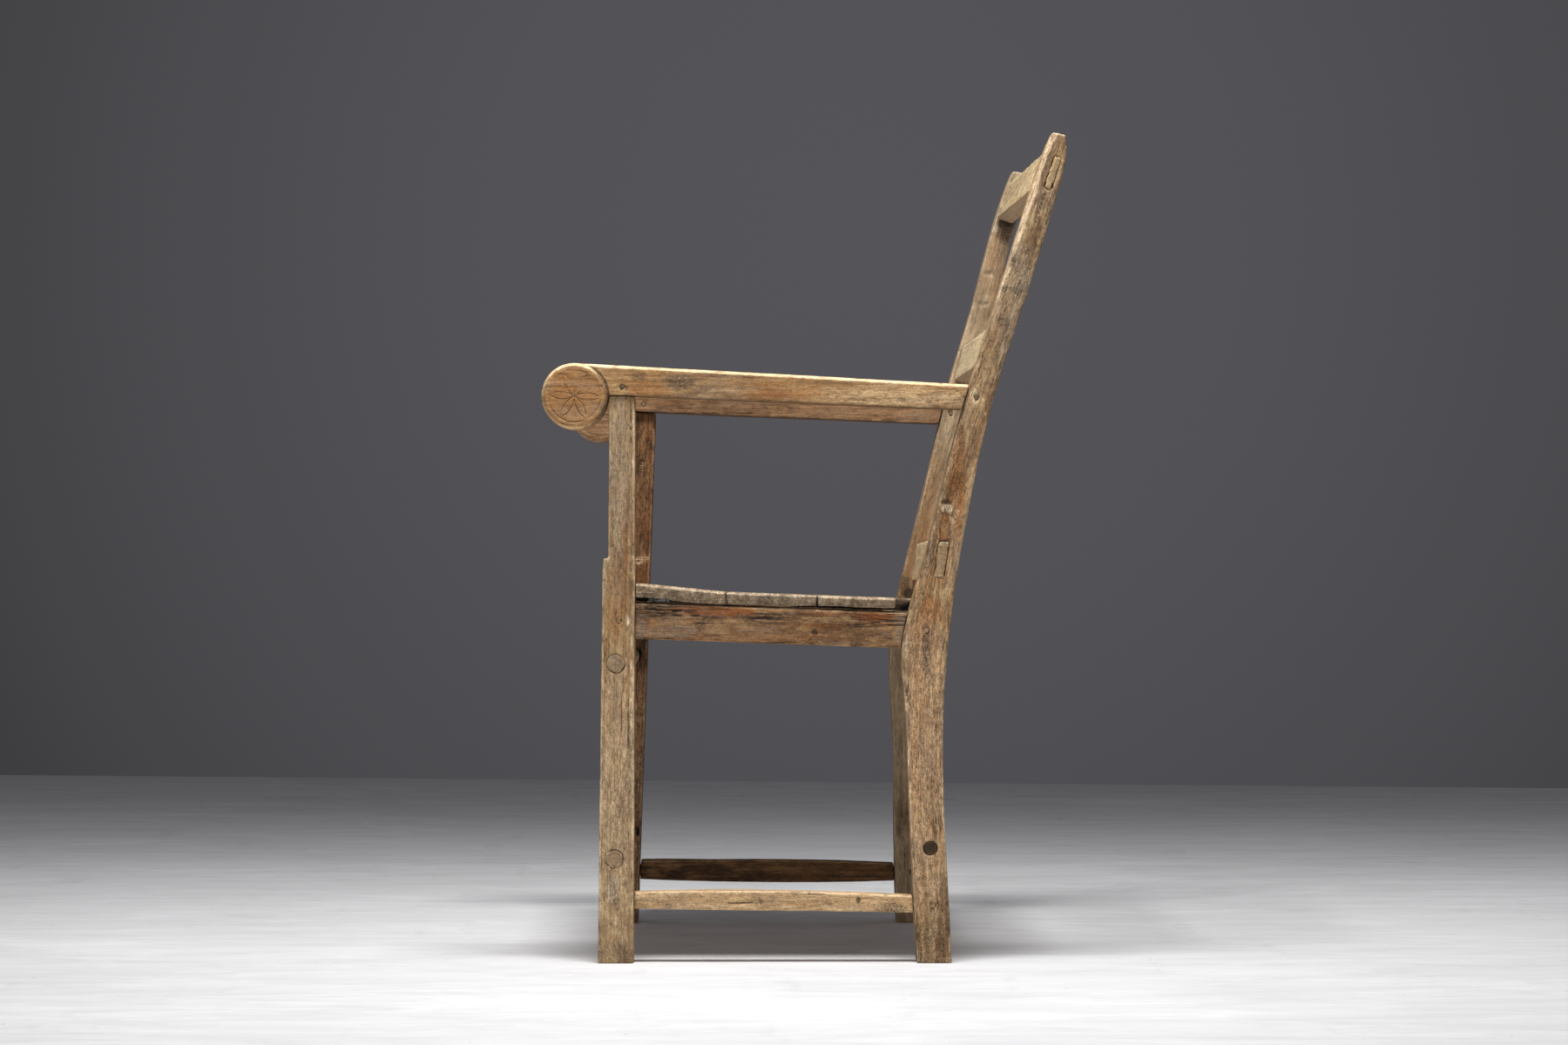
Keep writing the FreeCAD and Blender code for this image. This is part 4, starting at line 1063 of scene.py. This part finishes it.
# Nails
# Twelve hand-forged nails through the planks into the side rails. Their heads are hammered to
# uneven low domes and have rusted nearly black.

iron, nail_skin, start = new_finish("nail_iron", {"Metallic": 0.75})
rust = start.position().grainy((900, 900, 900), 4, 0.6)
rust.ramp(0.4, 0.62).between((0.035, 0.028, 0.025), (0.13, 0.062, 0.035)).into(nail_skin, "Base Color")
(0.55 + 0.4 * rust).into(nail_skin, "Roughness")
rust.bump(nail_skin, 0.6, 0.0004)

mesh = bmesh.new()
for middle, half in boxes_of("seat_nails", Vector((1, 1, 0.1))):
    def on_nail(far, size, corner):
        turn, hammered = corner
        reach = half.x * hammered * size
        return Vector((middle.x + reach * math.cos(turn), middle.y + reach * math.sin(turn), far))

    top = middle.z + half.z - 0.0017
    stations = [
        (middle.z - half.z, 0.06), (top - 0.012, 0.16), (top - 0.0016, 0.3), (top - 0.0014, 0.9),
        (top - 0.0007, 1), (top - 0.0003, 0.85), (top, 0.4),
    ]
    lathe_rings(mesh, stations, whittled_ring(13, 0.2, 0.82, 1), on_nail)
small_piece("forged_nails", mesh, iron, "seat_nails")


# The floor, the light and the camera
# A pale scuffed studio floor, darker toward its far end as painted shade, a glowing grey wall that is
# a little darker toward its sides as painted shade, one soft lamp overhead with a weak screen beside
# the camera, and the photograph's low side view.

def pale_floor():
    material, paint, start = new_finish("pale_floor", {"Roughness": 0.9, "Specular IOR Level": 0.0})
    place = start.position()
    cloud = place.grainy((1.2, 2.0, 1), 5, 0.6)
    scuff = place.grainy((3, 14, 1), 4, 0.6).ramp(0.6, 0.72)
    scratch = place.grainy((2.2, 0.9, 1), 6, 0.75, 0.6).ramp(0.54, 0.6)
    fleck = place.grainy((40, 9, 1), 3, 0.6).ramp(0.68, 0.76)
    smear = place.grainy((19, 5, 1), 6, 0.75, 0.8) - 0.5
    speck = place.grainy((95, 95, 1), 2, 0.5).ramp(0.755, 0.775)
    depth = place.split()[0]
    # Darker toward the far end, away from the lamp, and a little toward the front: painted shade
    far = depth.ramp(-0.2, -2.8)
    close = depth.ramp(-0.4, 0.7)
    level = 0.79 + 0.14 * cloud - 0.05 * scuff + 0.05 * scratch - 0.12 * fleck
    level = (level + 0.42 * smear) * (1 - 0.6 * speck)
    level = level * (1 - 0.42 * far) * (1 - 0.06 * close)
    start.combine(level, level * 0.995, level).into(paint, "Base Color")
    return material


def grey_wall():
    material, paint, start = new_finish("grey_wall", {
        "Base Color": (0, 0, 0, 1), "Specular IOR Level": 0.0, "Emission Strength": 1.0,
    })
    # The wall glows instead of being lit: a grey that darkens toward its sides, top and foot as painted
    # shade
    across, height = start.position().split()[1:]
    across, height = across - 0.23, start.math("MAXIMUM", height - 1.42, -1.61)
    level = 1 - 0.0536 * (across * across) - 0.051 * (height * height)
    colour = start.combine(level * 0.0908, level * 0.0887, level * 0.0976)
    colour.into(paint, "Emission Color")
    return material


def backdrop(name, corners, material):
    mesh = bpy.data.meshes.new(name)
    mesh.from_pydata(corners, [], [(0, 1, 2, 3)])
    mesh.materials.append(material)
    put(name, mesh)


# The floor's far edge is a little askew, as the foot of the photograph's backdrop slopes. The wall
# stands well behind it, clear of every other viewpoint, and reaches below the floor.
backdrop("floor", [(-4.015, -4.2, 0), (4.2, -4.2, 0), (4.2, 4.2, 0), (-2.704, 4.2, 0)], pale_floor())
wall_ends, wall_foot, wall_top = ((-7.128, -3.339), (-6.08, 3.381)), -2.5, 3.46
foot = [(*end, wall_foot) for end in wall_ends]
backdrop("wall", foot + [(*end, wall_top) for end in wall_ends[::-1]], grey_wall())

world = bpy.data.worlds.new("grey_room")
world.use_nodes = True
world.node_tree.nodes["Background"].inputs["Color"].default_value = (0.14, 0.14, 0.15, 1)
scene.world = world


def aim(lamp, direction):
    lamp.rotation_mode = "QUATERNION"
    lamp.rotation_quaternion = Vector(direction).to_track_quat("-Z", "Y")


def soft_light(name, size, watts):
    light = bpy.data.lights.new(name, "AREA")
    light.shape = "RECTANGLE"
    light.size, light.size_y = size
    light.energy = watts
    return light


lamp = soft_light("overhead_lamp", (0.45, 0.8), 45)
lamp.spread = math.radians(150)
put("overhead_lamp", lamp, (0.66, -0.05, 2.5))
screen = put("side_screen", soft_light("side_screen", (2.0, 1.2), 7), (4.2, -0.2, 0.5))
aim(screen, (-4.2, 0.15, -0.3))
scene.view_settings.view_transform = "Standard"

# The lens and the direction are in pixels of the 1800 pixel wide photograph
photo_width, photo_lens = 1800, 4482
lens = bpy.data.cameras.new("camera")
lens.sensor_width = 36.0
lens.lens = photo_lens / photo_width * lens.sensor_width
camera = put("camera", lens, (4.752, -0.0535, 0.466))
aim(camera, (-photo_lens, 30, 40))
scene.camera = camera
